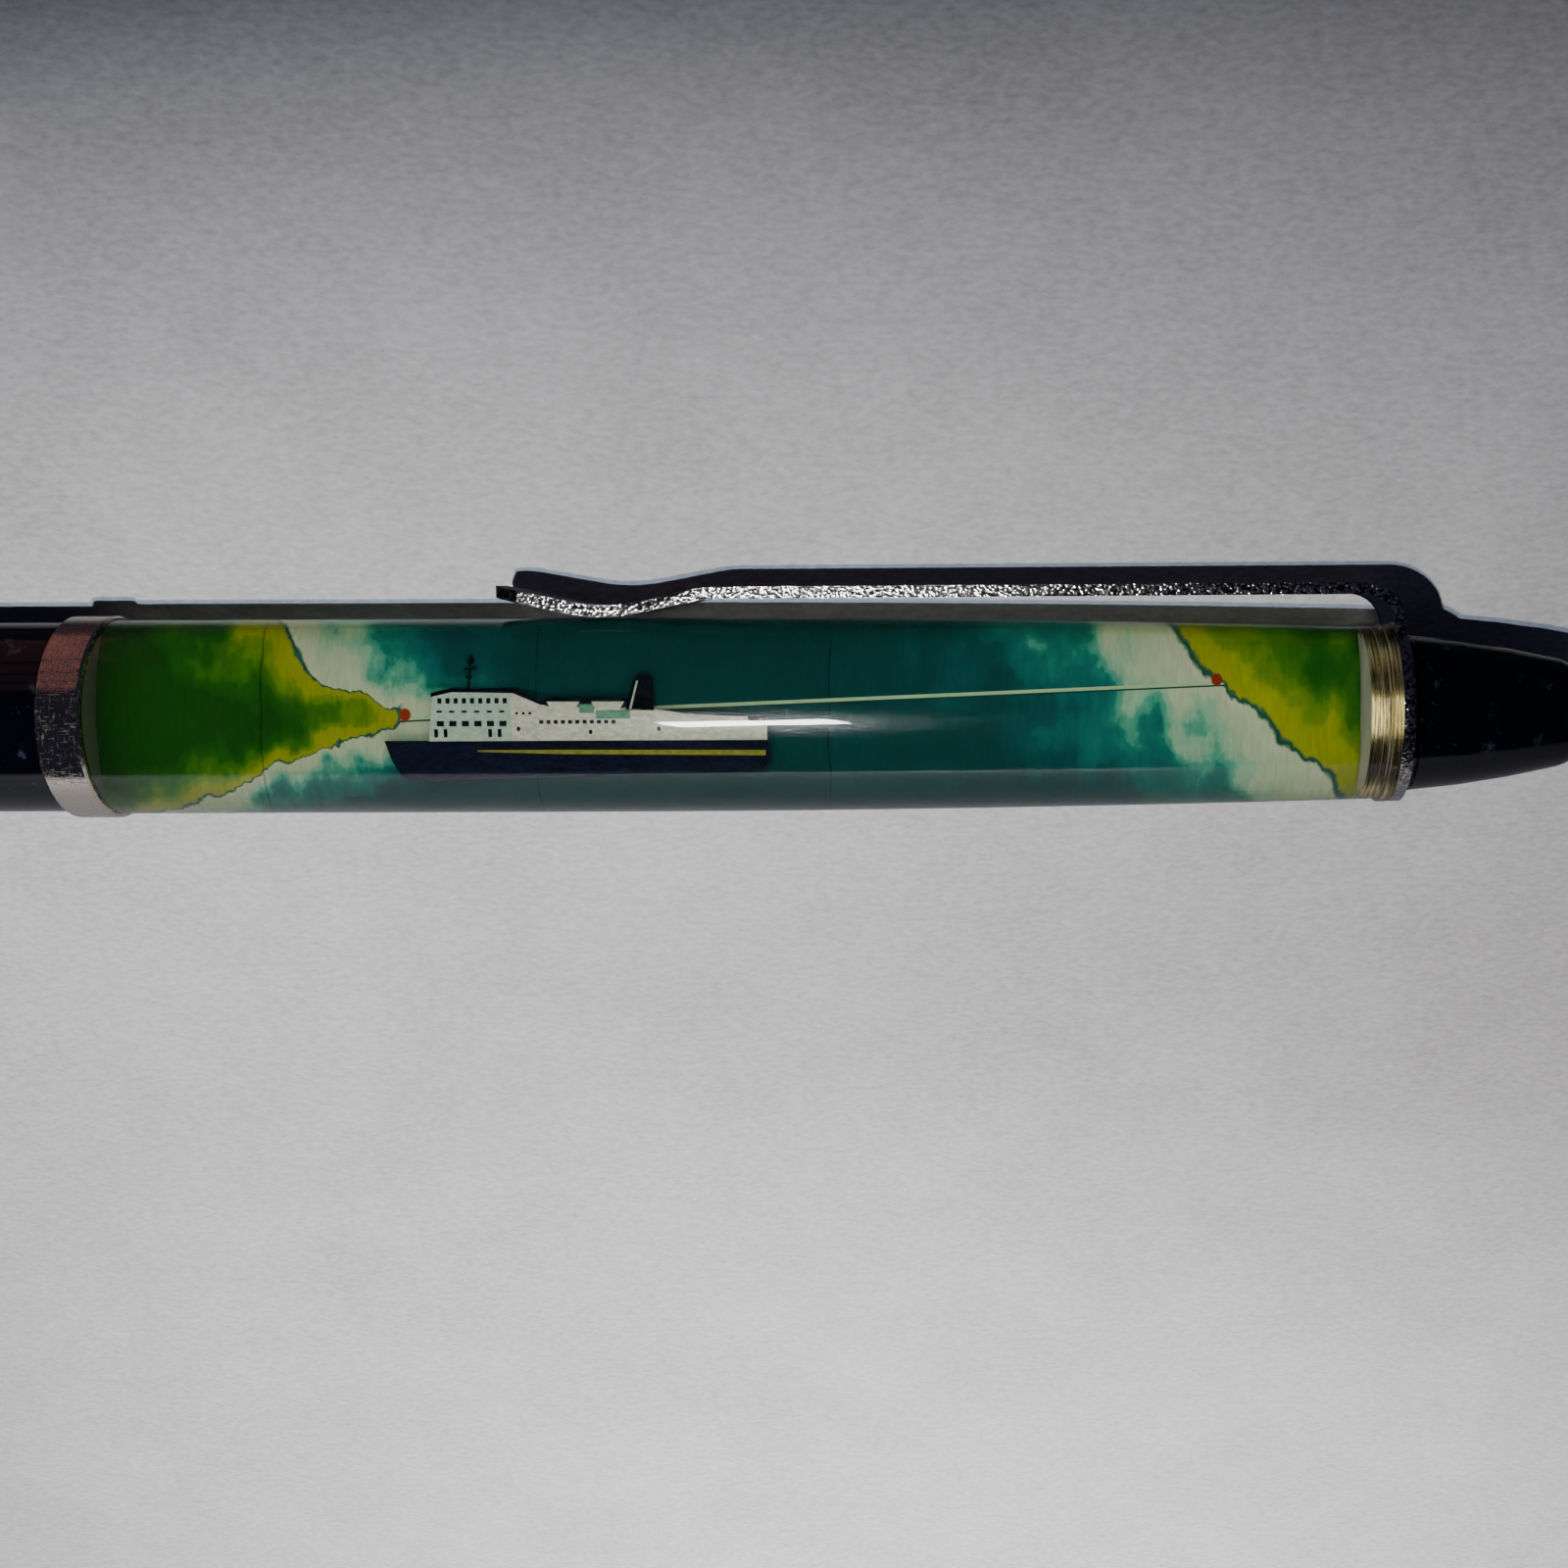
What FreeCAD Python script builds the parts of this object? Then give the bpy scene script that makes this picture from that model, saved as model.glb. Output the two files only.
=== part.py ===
import FreeCAD, Part
import math
import os

# Floaty pen, in millimetres.  The pen is first drawn about its own axis, with
# x = 0 at the edge of the centre band, +X towards the cap, +Y towards the
# pocket clip and +Z out of the picture.  At the end it is rolled about its
# axis until the clip meets the table, and moved so that the origin is the
# middle of the barrel's straight grip.

# Float tube
tube_diameter = 10.4
tube_wall = 1.0
tube_length = 67.8
tube_straight = 25.0
tube_taper_drop = 0.575
end_bead_height = 0.15
end_bead_width = 0.7

# Centre band
band_width = 2.3
band_proud = 0.2
band_wall = 0.65
band_edge = 0.12

# Lower barrel and nose
barrel_diameter = 10.16
barrel_wall = 0.98
barrel_length = 54.0
barrel_straight = 34.0
barrel_front_diameter = 6.0
barrel_blend_radius = 25.0
core_wall = 1.9
nose_length = 9.0
nose_tip_diameter = 3.8
nose_tip_edge = 0.25
nose_seat_length = 5.0
nose_seat_wall = 0.6
guide_length = 6.0

# Twist mechanism
sleeve_wall = 1.0
sleeve_end_wall = 3.0
bore_run_out = 1.4
spigot_length = 5.0
snap_setback = 2.5
snap_height = 0.3
snap_width = 1.0
carrier_length = 9.0
carrier_gap = 0.5
peg_diameter = 1.6
track_depth = 0.5
end_relief = 0.03
twist_angle = 150.0
travel = 5.5
socket_depth = 6.0

# Refill
refill_diameter = 3.0
refill_wall = 0.4
shank_diameter = 2.3
shank_length = 2.75
point_cone_length = 2.2
point_lip_wall = 0.06
point_spigot_length = 3.0
ink_channel_diameter = 0.6
ball_diameter = 1.0
ball_lip_reach = 0.15
retract_depth = 2.8

# Tube ends
stopper_thickness = 1.5
plug_thickness = 1.6
plug_groove_count = 2
plug_groove_width = 0.25
plug_groove_depth = 0.2
stud_diameter = 3.0
stud_length = 5.6

# Films and float
rail_half_depth = 0.45
rail_height = 0.85
back_rail_depth = 0.4
film_thickness = 0.2
film_slot_gap = 0.03
strip_thickness = 0.2
strip_length = 29.8
strip_start = 8.25
strip_corner = 0.5
ferry_thickness = 0.18
ferry_start = 6.3
keel_margin = 0.86
hull_height = 1.5
ferry_length = 20.0

# Pocket clip
clip_width = 4.2
clip_thickness = 0.62
clip_bend_radius = 2.0
clip_clearance = 1.0
clip_arm_rise = 0.15
clip_dip_x = 26.2
clip_tip_x = 20.4
clip_tip_lift = 1.25
clip_arm_start_x = 31.6
clip_dip_radius = 8.0
clip_knee_radius = 6.0
clip_tip_corner = 1.4
ring_margin = 0.02

# Cap
cap_length = 10.7
cap_step = 0.45
cap_nose_drop = 1.25
cap_nose_length = 2.2
cap_swell = 0.15
cap_groove_offset = 0.3
cap_groove_depth = 0.1

# Fits
running_clearance = 0.08
glue_gap = 0.03
face_gap = 0.08
nose_step_gap = 0.3
slide_gap = 0.08
touch_gap = 0.03
stud_clearance = 0.1

# Radii that follow from the sizes above
tube_r = tube_diameter / 2
bore_r = tube_r - tube_wall
tube_end_r = tube_r - tube_taper_drop
rib_root_r = bore_r + tube_wall / 4
band_r = tube_r + band_proud
neck_r = band_r - band_wall
barrel_r = barrel_diameter / 2
barrel_bore_r = barrel_r - barrel_wall
barrel_front_r = barrel_front_diameter / 2
sleeve_r = barrel_bore_r - running_clearance
sleeve_bore_r = sleeve_r - sleeve_wall
carrier_r = sleeve_bore_r - running_clearance
peg_r = peg_diameter / 2
refill_r = refill_diameter / 2
refill_bore_r = refill_r - refill_wall
guide_r = refill_r + 2 * running_clearance
seat_r = barrel_front_r - nose_seat_wall
shank_r = shank_diameter / 2
ball_r = ball_diameter / 2
cap_r = tube_end_r - cap_step
ring_r = tube_end_r + end_bead_height - ring_margin
stud_r = stud_diameter / 2

# Stations along the pen
x_mouth = -band_width - face_gap
x_front = x_mouth - barrel_length
x_nose_tip = x_front - nose_length
x_stopper_face = -band_width + stopper_thickness
x_plug_face = tube_length - plug_thickness
x_spigot_end = -band_width - spigot_length
x_peg = x_spigot_end - carrier_gap - carrier_length / 2
x_sleeve_end = x_peg - travel - peg_r - sleeve_end_wall
x_carrier_front = x_peg - carrier_length / 2
x_refill_tip = x_nose_tip + retract_depth
x_ball = x_refill_tip + ball_r
x_point_lip = x_ball - ball_lip_reach
x_shank = x_point_lip + point_cone_length
x_refill_front = x_shank + shank_length
x_nose_step = x_refill_front - travel - nose_step_gap
x_ring = tube_length
x_cap = x_ring + clip_thickness
x_cap_end = x_cap + cap_length
grip_centre = x_mouth - barrel_straight / 2

# Heights of the clip above the pen's axis
dip_y = tube_r + touch_gap + clip_thickness / 2
arm_y = tube_r + clip_clearance + clip_thickness / 2
arm_end_y = arm_y + clip_arm_rise

axis = FreeCAD.Vector(1, 0, 0)


def vec(x, y=0.0, z=0.0):
    return FreeCAD.Vector(x, y, z)


def profile_edges(start, moves):
    """Edges from start through moves: a point is a line, a pair of points an arc."""
    edges = []
    here = vec(*start)
    for move in moves:
        if isinstance(move[0], tuple):
            through = vec(*move[0])
            there = vec(*move[1])
            edges.append(Part.Arc(here, through, there).toShape())
        else:
            there = vec(*move)
            edges.append(Part.LineSegment(here, there).toShape())
        here = there
    return edges


def turned(start, *moves):
    """Solid of revolution about the pen's axis from a closed (x, radius) profile."""
    edges = profile_edges(start, moves + (start,))
    face = Part.Face(Part.Wire(edges))
    return face.revolve(vec(0), axis, 360)


def rod(x_low, x_high, radius):
    return Part.makeCylinder(radius, x_high - x_low, vec(x_low), axis)


def pipe(x_low, x_high, radius, hole):
    return rod(x_low, x_high, radius).cut(rod(x_low, x_high, hole))


def block(x_low, x_high, y_low, y_high, z_low, z_high):
    size = (x_high - x_low, y_high - y_low, z_high - z_low)
    return Part.makeBox(*size, vec(x_low, y_low, z_low))


def tangent_arc(x_start, x_end, r_start, r_end):
    """A long arc that leaves the straight stretch without a corner: (middle, end)."""
    run = x_end - x_start
    drop = r_start - r_end
    big_r = (run * run + drop * drop) / (2 * drop)
    half = run / 2
    sag = big_r - math.sqrt(big_r * big_r - half * half)
    return ((x_start + half, r_start - sag), (x_end, r_end))


def guide_rails(side):
    """Ribs inside one side of the bore that hold both films and guide the strip."""
    film_slot = film_thickness + 2 * film_slot_gap
    foot = bore_r - rail_height
    reach = side * (bore_r + tube_wall / 2)
    rows = [(-rail_half_depth, rail_half_depth)]
    for front in (-1, 1):
        near = front * (rail_half_depth + film_slot)
        far = near + front * back_rail_depth
        rows.append((min(near, far), max(near, far)))
    rails = []
    for low, high in rows:
        y_low = min(side * foot, reach)
        y_high = max(side * foot, reach)
        rails.append(block(x_stopper_face, x_plug_face, y_low, y_high, low, high))
    return rails


def float_tube():
    """Clear moulded tube: necked under the band, straight, then slimmer to the clip."""
    x_bead = tube_length - end_bead_width
    bead_r = tube_end_r + end_bead_height
    x_crest = x_bead + end_bead_height
    x_crest_end = tube_length - end_bead_height
    body = turned(
        (-band_width, 0),
        (-band_width, neck_r),
        (0, neck_r),
        (0, tube_r),
        (tube_straight, tube_r),
        tangent_arc(tube_straight, x_bead, tube_r, tube_end_r),
        (x_crest, bead_r),
        (x_crest_end, bead_r),
        (tube_length, tube_end_r),
        (tube_length, 0),
    )
    body = body.cut(rod(-band_width, tube_length, bore_r))
    inside = rod(x_stopper_face, x_plug_face, rib_root_r)
    rails = []
    for side in (-1, 1):
        for rail in guide_rails(side):
            rails.append(rail.common(inside))
    return body.fuse(rails).removeSplitter()


def film(front):
    """Flat film held in its pair of slots, in front of or behind the float."""
    near = rail_half_depth + film_slot_gap
    far = near + film_thickness
    half = math.sqrt(bore_r ** 2 - far ** 2) - film_slot_gap
    z_low = near if front else -far
    x_low = x_stopper_face + film_slot_gap
    x_high = x_plug_face - film_slot_gap
    return block(x_low, x_high, -half, half, z_low, z_low + film_thickness)


def float_strip():
    """Clear strip that slides between the rails and carries the ferry."""
    half = bore_r - rail_height - slide_gap
    half_t = strip_thickness / 2
    strip = block(strip_start, strip_start + strip_length, -half, half, -half_t, half_t)
    corners = []
    for edge in strip.Edges:
        along = edge.Vertexes[0].Point - edge.Vertexes[1].Point
        if abs(along.z) > half_t:
            corners.append(edge)
    return strip.makeFillet(strip_corner, corners)


def ferry_cutout():
    """Opaque film cut to a ferry's side view and laminated on the strip."""
    strip_half = bore_r - rail_height - slide_gap
    keel = keel_margin - strip_half
    bow = strip_start + ferry_start
    # Share of the ferry's length from the bow, and height in hull heights.
    outline = [
        (0.0, 1.0), (0.018, 0.5), (0.048, 0.0), (0.97, 0.13), (1.0, 0.33), (1.0, 1.03),
        (0.985, 1.3), (0.735, 1.33), (0.73, 1.6), (0.715, 2.6), (0.67, 2.57), (0.65, 1.63),
        (0.35, 1.67), (0.34, 2.2), (0.135, 2.27), (0.115, 1.97), (0.115, 1.07),
    ]
    points = []
    for along, up in outline:
        across = keel + up * hull_height
        points.append(vec(bow + along * ferry_length, across, strip_thickness / 2))
    face = Part.Face(Part.makePolygon(points + [points[0]]))
    return face.extrude(vec(0, 0, ferry_thickness))


def tube_stopper():
    """Plug glued in the tube's lower end, with the spigot that carries the sleeve."""
    disc = rod(-band_width, x_stopper_face, bore_r - glue_gap)
    spigot = rod(x_spigot_end, -band_width, sleeve_bore_r - glue_gap)
    return disc.fuse(spigot).removeSplitter()


def end_plug():
    """Turned brass plug with grooves, and the stud that holds clip and cap."""
    plug_r = bore_r - glue_gap
    plug = rod(x_plug_face, tube_length, plug_r)
    pitch = plug_thickness / (plug_groove_count + 1)
    for index in range(plug_groove_count):
        middle = x_plug_face + pitch * (index + 1)
        low = middle - plug_groove_width / 2
        plug = plug.cut(pipe(low, low + plug_groove_width, bore_r, plug_r - plug_groove_depth))
    stud = rod(tube_length, tube_length + stud_length, stud_r)
    return plug.fuse(stud).removeSplitter()


def centre_band():
    """Chromed ring on the tube's neck, with its corners broken."""
    inner = neck_r + glue_gap
    return turned(
        (-band_width, inner),
        (-band_width, band_r - band_edge),
        (-band_width + band_edge, band_r),
        (-band_edge, band_r),
        (0, band_r - band_edge),
        (0, inner),
    )


def shoulder_blend(x_corner):
    """An arc from the straight stretch's end to where the cone leaves it: (middle, end)."""
    run = x_corner - x_front
    rise = barrel_front_r - barrel_r + barrel_blend_radius
    to_front = math.hypot(run, rise)
    slope = math.atan2(run, rise) - math.acos(barrel_blend_radius / to_front)
    points = []
    for turn in (slope / 2, slope):
        back = barrel_blend_radius * math.sin(turn)
        sink = barrel_blend_radius * (1 - math.cos(turn))
        points.append((x_corner - back, barrel_r - sink))
    return tuple(points)


def lower_barrel():
    """Moulded barrel: mechanism bore, peg track, snap bead, core and refill guide."""
    x_straight_end = x_mouth - barrel_straight
    body = turned(
        (x_mouth, 0),
        (x_mouth, barrel_r),
        (x_straight_end, barrel_r),
        shoulder_blend(x_straight_end),
        (x_front, barrel_front_r),
        (x_front, 0),
    )
    x_bore_end = x_sleeve_end - bore_run_out
    x_seat = x_front + nose_seat_length
    x_guide = x_seat + guide_length
    body = body.cut(rod(x_bore_end, x_mouth, barrel_bore_r))
    body = body.cut(rod(x_guide, x_bore_end, barrel_r - core_wall))
    body = body.cut(rod(x_seat, x_guide, guide_r))
    body = body.cut(rod(x_front, x_seat, seat_r))
    x_bead = x_mouth - snap_setback
    bead = pipe(x_bead - snap_width, x_bead, barrel_bore_r, barrel_bore_r - snap_height)
    body = body.fuse(bead)
    half_track = peg_r + running_clearance
    track_r = barrel_bore_r + track_depth
    track = block(x_bore_end, x_mouth, 0, track_r, -half_track, half_track)
    return body.cut(track.common(rod(x_bore_end, x_mouth, track_r))).removeSplitter()


def nose_cone():
    """Chromed cone pressed into the barrel's front; the point comes out through it."""
    tip_r = nose_tip_diameter / 2
    x_seat = x_front + nose_seat_length
    spigot_r = seat_r - glue_gap
    body = turned(
        (x_nose_tip, 0),
        (x_nose_tip, tip_r - nose_tip_edge),
        (x_nose_tip + nose_tip_edge, tip_r),
        (x_front, barrel_front_r),
        (x_front, spigot_r),
        (x_seat, spigot_r),
        (x_seat, 0),
    )
    body = body.cut(rod(x_nose_step, x_seat, guide_r))
    return body.cut(rod(x_nose_tip, x_nose_step, shank_r + running_clearance))


def helical_slot():
    """Cutters for the cam slot: a flat bar swept along the peg's path, and round ends."""
    half = peg_r + running_clearance
    lead = travel * 360 / twist_angle
    mid_r = (sleeve_r + sleeve_bore_r) / 2
    reach = sleeve_wall
    path = Part.makeHelix(lead, travel, mid_r, 0, True)
    slope = math.atan2(lead, 2 * math.pi * mid_r)
    across = vec(0, math.sin(slope), math.cos(slope)) * half
    inner = vec(mid_r - reach)
    outer = vec(mid_r + reach)
    corners = [inner - across, outer - across, outer + across, inner + across]
    bar = Part.makePolygon(corners + [corners[0]])
    slot = Part.Wire(path.Edges).makePipeShell([bar], True, True)
    cutters = [slot]
    for angle, height in ((0, 0), (twist_angle, travel)):
        end = Part.makeCylinder(half + end_relief, 2 * reach, inner + vec(0, 0, height), vec(1))
        end.rotate(vec(0), vec(0, 0, 1), -angle)
        cutters.append(end)
    # The helix climbs along +Z from +X.  Turned so that it runs along -X from +Y.
    for cutter in cutters:
        cutter.rotate(vec(0), vec(0, 1, 0), -90)
        cutter.rotate(vec(0), vec(1, 0, 0), -90)
        cutter.translate(vec(x_peg))
    return cutters


def cam_sleeve():
    """Fixed tube with the helical slot that drives the refill, and the snap groove."""
    sleeve = pipe(x_sleeve_end, -band_width, sleeve_r, sleeve_bore_r)
    x_bead = x_mouth - snap_setback
    low = x_bead - snap_width - running_clearance
    high = x_bead + running_clearance
    floor_r = barrel_bore_r - snap_height - running_clearance
    sleeve = sleeve.cut(pipe(low, high, sleeve_r, floor_r))
    return sleeve.cut(helical_slot())


def refill_carrier():
    """Slider with the peg that passes through the slot into the barrel's track."""
    x_rear = x_peg + carrier_length / 2
    body = rod(x_carrier_front, x_rear, carrier_r)
    peg_reach = barrel_bore_r + track_depth - 2 * running_clearance
    peg_root = carrier_r - sleeve_wall / 2
    peg = Part.makeCylinder(peg_r, peg_reach - peg_root, vec(x_peg, peg_root), vec(0, 1))
    body = body.fuse(peg)
    socket = rod(x_carrier_front, x_carrier_front + socket_depth, refill_r + glue_gap)
    return body.cut(socket).removeSplitter()


def refill_tube():
    x_rear = x_carrier_front + socket_depth - glue_gap
    return pipe(x_refill_front, x_rear, refill_r, refill_bore_r)


def refill_point():
    """Turned brass point: cone, shank, and the spigot pressed into the refill tube."""
    lip_r = ball_r + point_lip_wall
    x_rear = x_refill_front + point_spigot_length
    body = turned(
        (x_point_lip, 0),
        (x_point_lip, lip_r),
        (x_shank, shank_r),
        (x_refill_front, shank_r),
        (x_refill_front, refill_bore_r - glue_gap),
        (x_rear, refill_bore_r - glue_gap),
        (x_rear, 0),
    )
    # A straight socket with a 45 degree seat, which the ball just touches.
    socket_r = ball_r + glue_gap
    x_seat = x_ball + socket_r * (math.sqrt(2) - 1)
    body = body.cut(rod(x_point_lip, x_seat, socket_r))
    body = body.cut(Part.makeCone(socket_r, 0, socket_r, vec(x_seat), axis))
    return body.cut(rod(x_ball, x_rear, ink_channel_diameter / 2))


def refill_ball():
    return Part.makeSphere(ball_r, vec(x_ball))


def bent_strip(points, radii, thickness, width):
    """Sheet metal strip: an outline offset both ways from its rounded centre line."""
    sides = []
    for side in (1, -1):
        offset = []
        for index, point in enumerate(points):
            before = points[max(index - 1, 0)]
            after = points[min(index + 1, len(points) - 1)]
            to_here = (point - before) if index else (after - point)
            from_here = (after - point) if index < len(points) - 1 else to_here
            to_here = vec(*to_here).normalize()
            from_here = vec(*from_here).normalize()
            normal = vec(-to_here.y - from_here.y, to_here.x + from_here.x).normalize()
            stretch = normal.dot(vec(-to_here.y, to_here.x))
            offset.append(point + normal * (side * thickness / 2 / stretch))
        edges = []
        here = offset[0]
        for index, radius in enumerate(radii):
            corner = offset[index + 1]
            back = (offset[index] - corner).normalize()
            ahead = (offset[index + 2] - corner).normalize()
            left_turn = back.cross(ahead).z < 0
            grown = radius - side * thickness / 2 if left_turn else radius + side * thickness / 2
            half_open = back.getAngle(ahead) / 2
            setback = grown / math.tan(half_open)
            bisector = (back + ahead).normalize()
            start = corner + back * setback
            end = corner + ahead * setback
            middle = corner + bisector * (grown / math.sin(half_open) - grown)
            edges.append(Part.LineSegment(here, start).toShape())
            edges.append(Part.Arc(start, middle, end).toShape())
            here = end
        edges.append(Part.LineSegment(here, offset[-1]).toShape())
        sides.append((offset[0], edges, offset[-1]))
    caps = []
    for place in (0, 2):
        caps.append(Part.LineSegment(sides[0][place], sides[1][place]).toShape())
    outline = Part.Wire(Part.__sortEdges__(sides[0][1] + sides[1][1] + caps))
    strip = Part.Face(outline).extrude(vec(0, 0, width))
    strip.translate(vec(0, 0, -width / 2))
    return strip


def dip_corner_y():
    """Height of the dip's corner whose rounded bend just meets the tube."""
    fall = math.atan2(clip_tip_lift, clip_dip_x - clip_tip_x)
    rise = math.atan2(arm_y - dip_y, clip_arm_start_x - clip_dip_x)
    return dip_y - clip_dip_radius * (1 / math.cos((fall + rise) / 2) - 1)


def pocket_clip():
    """One chromed stamping: springy arm with its dip and lifted tip, bend and ring."""
    leg_x = x_ring + clip_thickness / 2
    corner_y = dip_corner_y()
    line = [
        vec(clip_tip_x, corner_y + clip_tip_lift),
        vec(clip_dip_x, corner_y),
        vec(clip_arm_start_x, arm_y),
        vec(leg_x, arm_end_y),
        vec(leg_x, stud_r + stud_clearance + clip_thickness),
    ]
    radii = [clip_dip_radius, clip_knee_radius, clip_bend_radius]
    strip = bent_strip(line, radii, clip_thickness, clip_width)
    corner = clip_tip_corner
    half = clip_width / 2
    round_mid = corner * (1 - math.sqrt(0.5))
    plan = profile_edges(
        (x_cap, 0, -half),
        [
            (x_cap, 0, half),
            (clip_tip_x + corner, 0, half),
            ((clip_tip_x + round_mid, 0, half - round_mid), (clip_tip_x, 0, half - corner)),
            (clip_tip_x, 0, corner - half),
            ((clip_tip_x + round_mid, 0, round_mid - half), (clip_tip_x + corner, 0, -half)),
            (x_cap, 0, -half),
        ],
    )
    plan_block = Part.Face(Part.Wire(plan)).extrude(vec(0, arm_end_y + clip_width))
    strip = strip.common(plan_block)
    ring = rod(x_ring, x_cap, ring_r)
    hole = rod(x_ring, x_cap, stud_r + stud_clearance)
    return strip.fuse(ring).cut(hole).removeSplitter()


def dome(x_foot, foot_r, x_end):
    """An arc from the flank's end to the axis, square to the axis: (middle, end)."""
    rise = x_end - x_foot
    big_r = (rise * rise + foot_r * foot_r) / (2 * rise)
    half = math.asin(foot_r / big_r) / 2
    return ((x_end - big_r + big_r * math.cos(half), big_r * math.sin(half)), (x_end, 0))


def top_cap():
    """Bullet-shaped cap with a fine groove at its foot, screwed on the plug's stud."""
    x_shoulder = x_cap_end - cap_nose_length
    shoulder_r = cap_r - cap_nose_drop
    x_groove = x_cap + cap_groove_offset
    x_flank = x_groove + 2 * cap_groove_depth
    flank = []
    for share in (0, 1 / 3, 2 / 3, 1):
        swell = cap_swell * 4 * share * (1 - share)
        flank_r = cap_r - cap_nose_drop * share + swell
        flank.append((x_flank + (x_shoulder - x_flank) * share, flank_r))
    body = turned(
        (x_cap, 0),
        (x_cap, cap_r),
        (x_groove, cap_r),
        (x_groove + cap_groove_depth, cap_r - cap_groove_depth),
        *flank,
        dome(x_shoulder, shoulder_r, x_cap_end),
    )
    x_stud_end = tube_length + stud_length + stud_clearance
    return body.cut(rod(x_cap, x_stud_end, stud_r + glue_gap))


def rest_roll():
    """Roll about the pen's axis that sets the clip's edge level with the band."""
    height = arm_end_y + clip_thickness / 2
    reach = math.hypot(height, clip_width / 2)
    return math.degrees(math.asin(band_r / reach) - math.atan2(clip_width / 2, height))


pieces = {
    "float_tube": float_tube(),
    "picture_film": film(front=False),
    "front_film": film(front=True),
    "float_strip": float_strip(),
    "ferry_cutout": ferry_cutout(),
    "tube_stopper": tube_stopper(),
    "end_plug": end_plug(),
    "centre_band": centre_band(),
    "pocket_clip": pocket_clip(),
    "top_cap": top_cap(),
    "cam_sleeve": cam_sleeve(),
    "refill_carrier": refill_carrier(),
    "refill_tube": refill_tube(),
    "refill_point": refill_point(),
    "refill_ball": refill_ball(),
    "lower_barrel": lower_barrel(),
    "nose_cone": nose_cone(),
}

os.makedirs("parts", exist_ok=True)
for name, shape in pieces.items():
    shape.translate(vec(-grip_centre))
    shape.rotate(vec(0), axis, -rest_roll())
    shape.exportStep("parts/" + name + ".step")
    print(name, shape.isValid(), len(shape.Solids), round(shape.Volume, 3))
print("roll", round(rest_roll(), 3), "grip centre", grip_centre)
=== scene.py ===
"""Floating scene pen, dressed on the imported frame.

New pieces are drawn in millimetres on the pen's own axes: x runs from the centre
band's edge towards the cap, y towards the pocket clip, and z out of the picture.
place() then turns them into the frame, which is in metres and lies as the pen rests.
"""

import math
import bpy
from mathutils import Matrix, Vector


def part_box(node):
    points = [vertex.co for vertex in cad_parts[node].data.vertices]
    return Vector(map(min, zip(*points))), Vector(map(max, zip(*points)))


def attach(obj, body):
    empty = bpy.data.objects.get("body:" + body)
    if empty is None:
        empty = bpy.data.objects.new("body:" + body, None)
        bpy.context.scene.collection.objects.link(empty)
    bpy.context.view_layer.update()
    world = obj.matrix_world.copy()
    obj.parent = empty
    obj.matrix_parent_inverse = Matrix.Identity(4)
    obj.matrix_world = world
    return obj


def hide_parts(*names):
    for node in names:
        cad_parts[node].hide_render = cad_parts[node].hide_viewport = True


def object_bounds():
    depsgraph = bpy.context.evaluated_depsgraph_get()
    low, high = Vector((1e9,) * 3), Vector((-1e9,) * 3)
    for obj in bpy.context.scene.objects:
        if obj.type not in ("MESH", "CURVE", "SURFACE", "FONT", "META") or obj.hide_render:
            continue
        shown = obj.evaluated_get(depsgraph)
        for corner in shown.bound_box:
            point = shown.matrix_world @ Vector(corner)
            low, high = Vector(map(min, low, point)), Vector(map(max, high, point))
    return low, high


bl_info = {
    "name": "Floating Scene Pen",
    "version": (1, 0, 0),
    "blender": (4, 5, 0),
    "location": "View3D > Sidebar > Floating Pen",
    "description": "Builds the pen's clear tube, ferry, clip, finishes and studio",
    "category": "Object",
}

import bpy
from bpy.props import FloatProperty, FloatVectorProperty, IntProperty, PointerProperty
from mathutils import Matrix, Vector

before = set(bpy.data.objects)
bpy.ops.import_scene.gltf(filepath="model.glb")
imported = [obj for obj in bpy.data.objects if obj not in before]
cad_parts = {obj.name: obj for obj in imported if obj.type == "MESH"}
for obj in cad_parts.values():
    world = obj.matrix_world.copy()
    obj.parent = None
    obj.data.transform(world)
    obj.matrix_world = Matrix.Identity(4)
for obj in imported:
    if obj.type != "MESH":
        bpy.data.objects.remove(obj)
cad_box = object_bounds()

MM = 0.001
BAND_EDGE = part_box("centre_band")[1].x
FLOOR_Z = cad_box[0][2]
NECK_END = (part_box("float_tube")[0].x - BAND_EDGE) / MM
TUBE_END = (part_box("float_tube")[1].x - BAND_EDGE) / MM
CHAMBER_START = (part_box("front_film")[0].x - BAND_EDGE) / MM
CHAMBER_END = (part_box("front_film")[1].x - BAND_EDGE) / MM

# The picture faces up, turned this far about the pen's axis from straight up.
ROLL = math.radians(31.119)
ALONG = Vector((1, 0, 0))
TO_CLIP = Vector((0, math.cos(ROLL), -math.sin(ROLL)))
OUT_OF_PICTURE = Vector((0, math.sin(ROLL), math.cos(ROLL)))
PLACE = (
    Matrix.Translation((BAND_EDGE, 0, 0))
    @ Matrix.Rotation(-ROLL, 4, "X")
    @ Matrix.Scale(MM, 4)
)


def linear(sample):
    """sRGB hex such as "#1E4A0C" as linear red, green, blue and alpha."""
    channels = [int(sample[i : i + 2], 16) / 255 for i in (1, 3, 5)]
    return [c / 12.92 if c <= 0.04045 else ((c + 0.055) / 1.055) ** 2.4 for c in channels] + [1.0]


# ---------------------------------------------------------------- sizes and colours


def length_of(name, millimetres, description):
    """A length, given in millimetres and kept in metres."""
    return FloatProperty(
        name=name, description=description, default=millimetres * MM, precision=5, unit="LENGTH"
    )


def angle_of(name, degrees, description):
    """An angle, given in degrees."""
    return FloatProperty(
        name=name, description=description, default=math.radians(degrees), subtype="ANGLE"
    )


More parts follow.
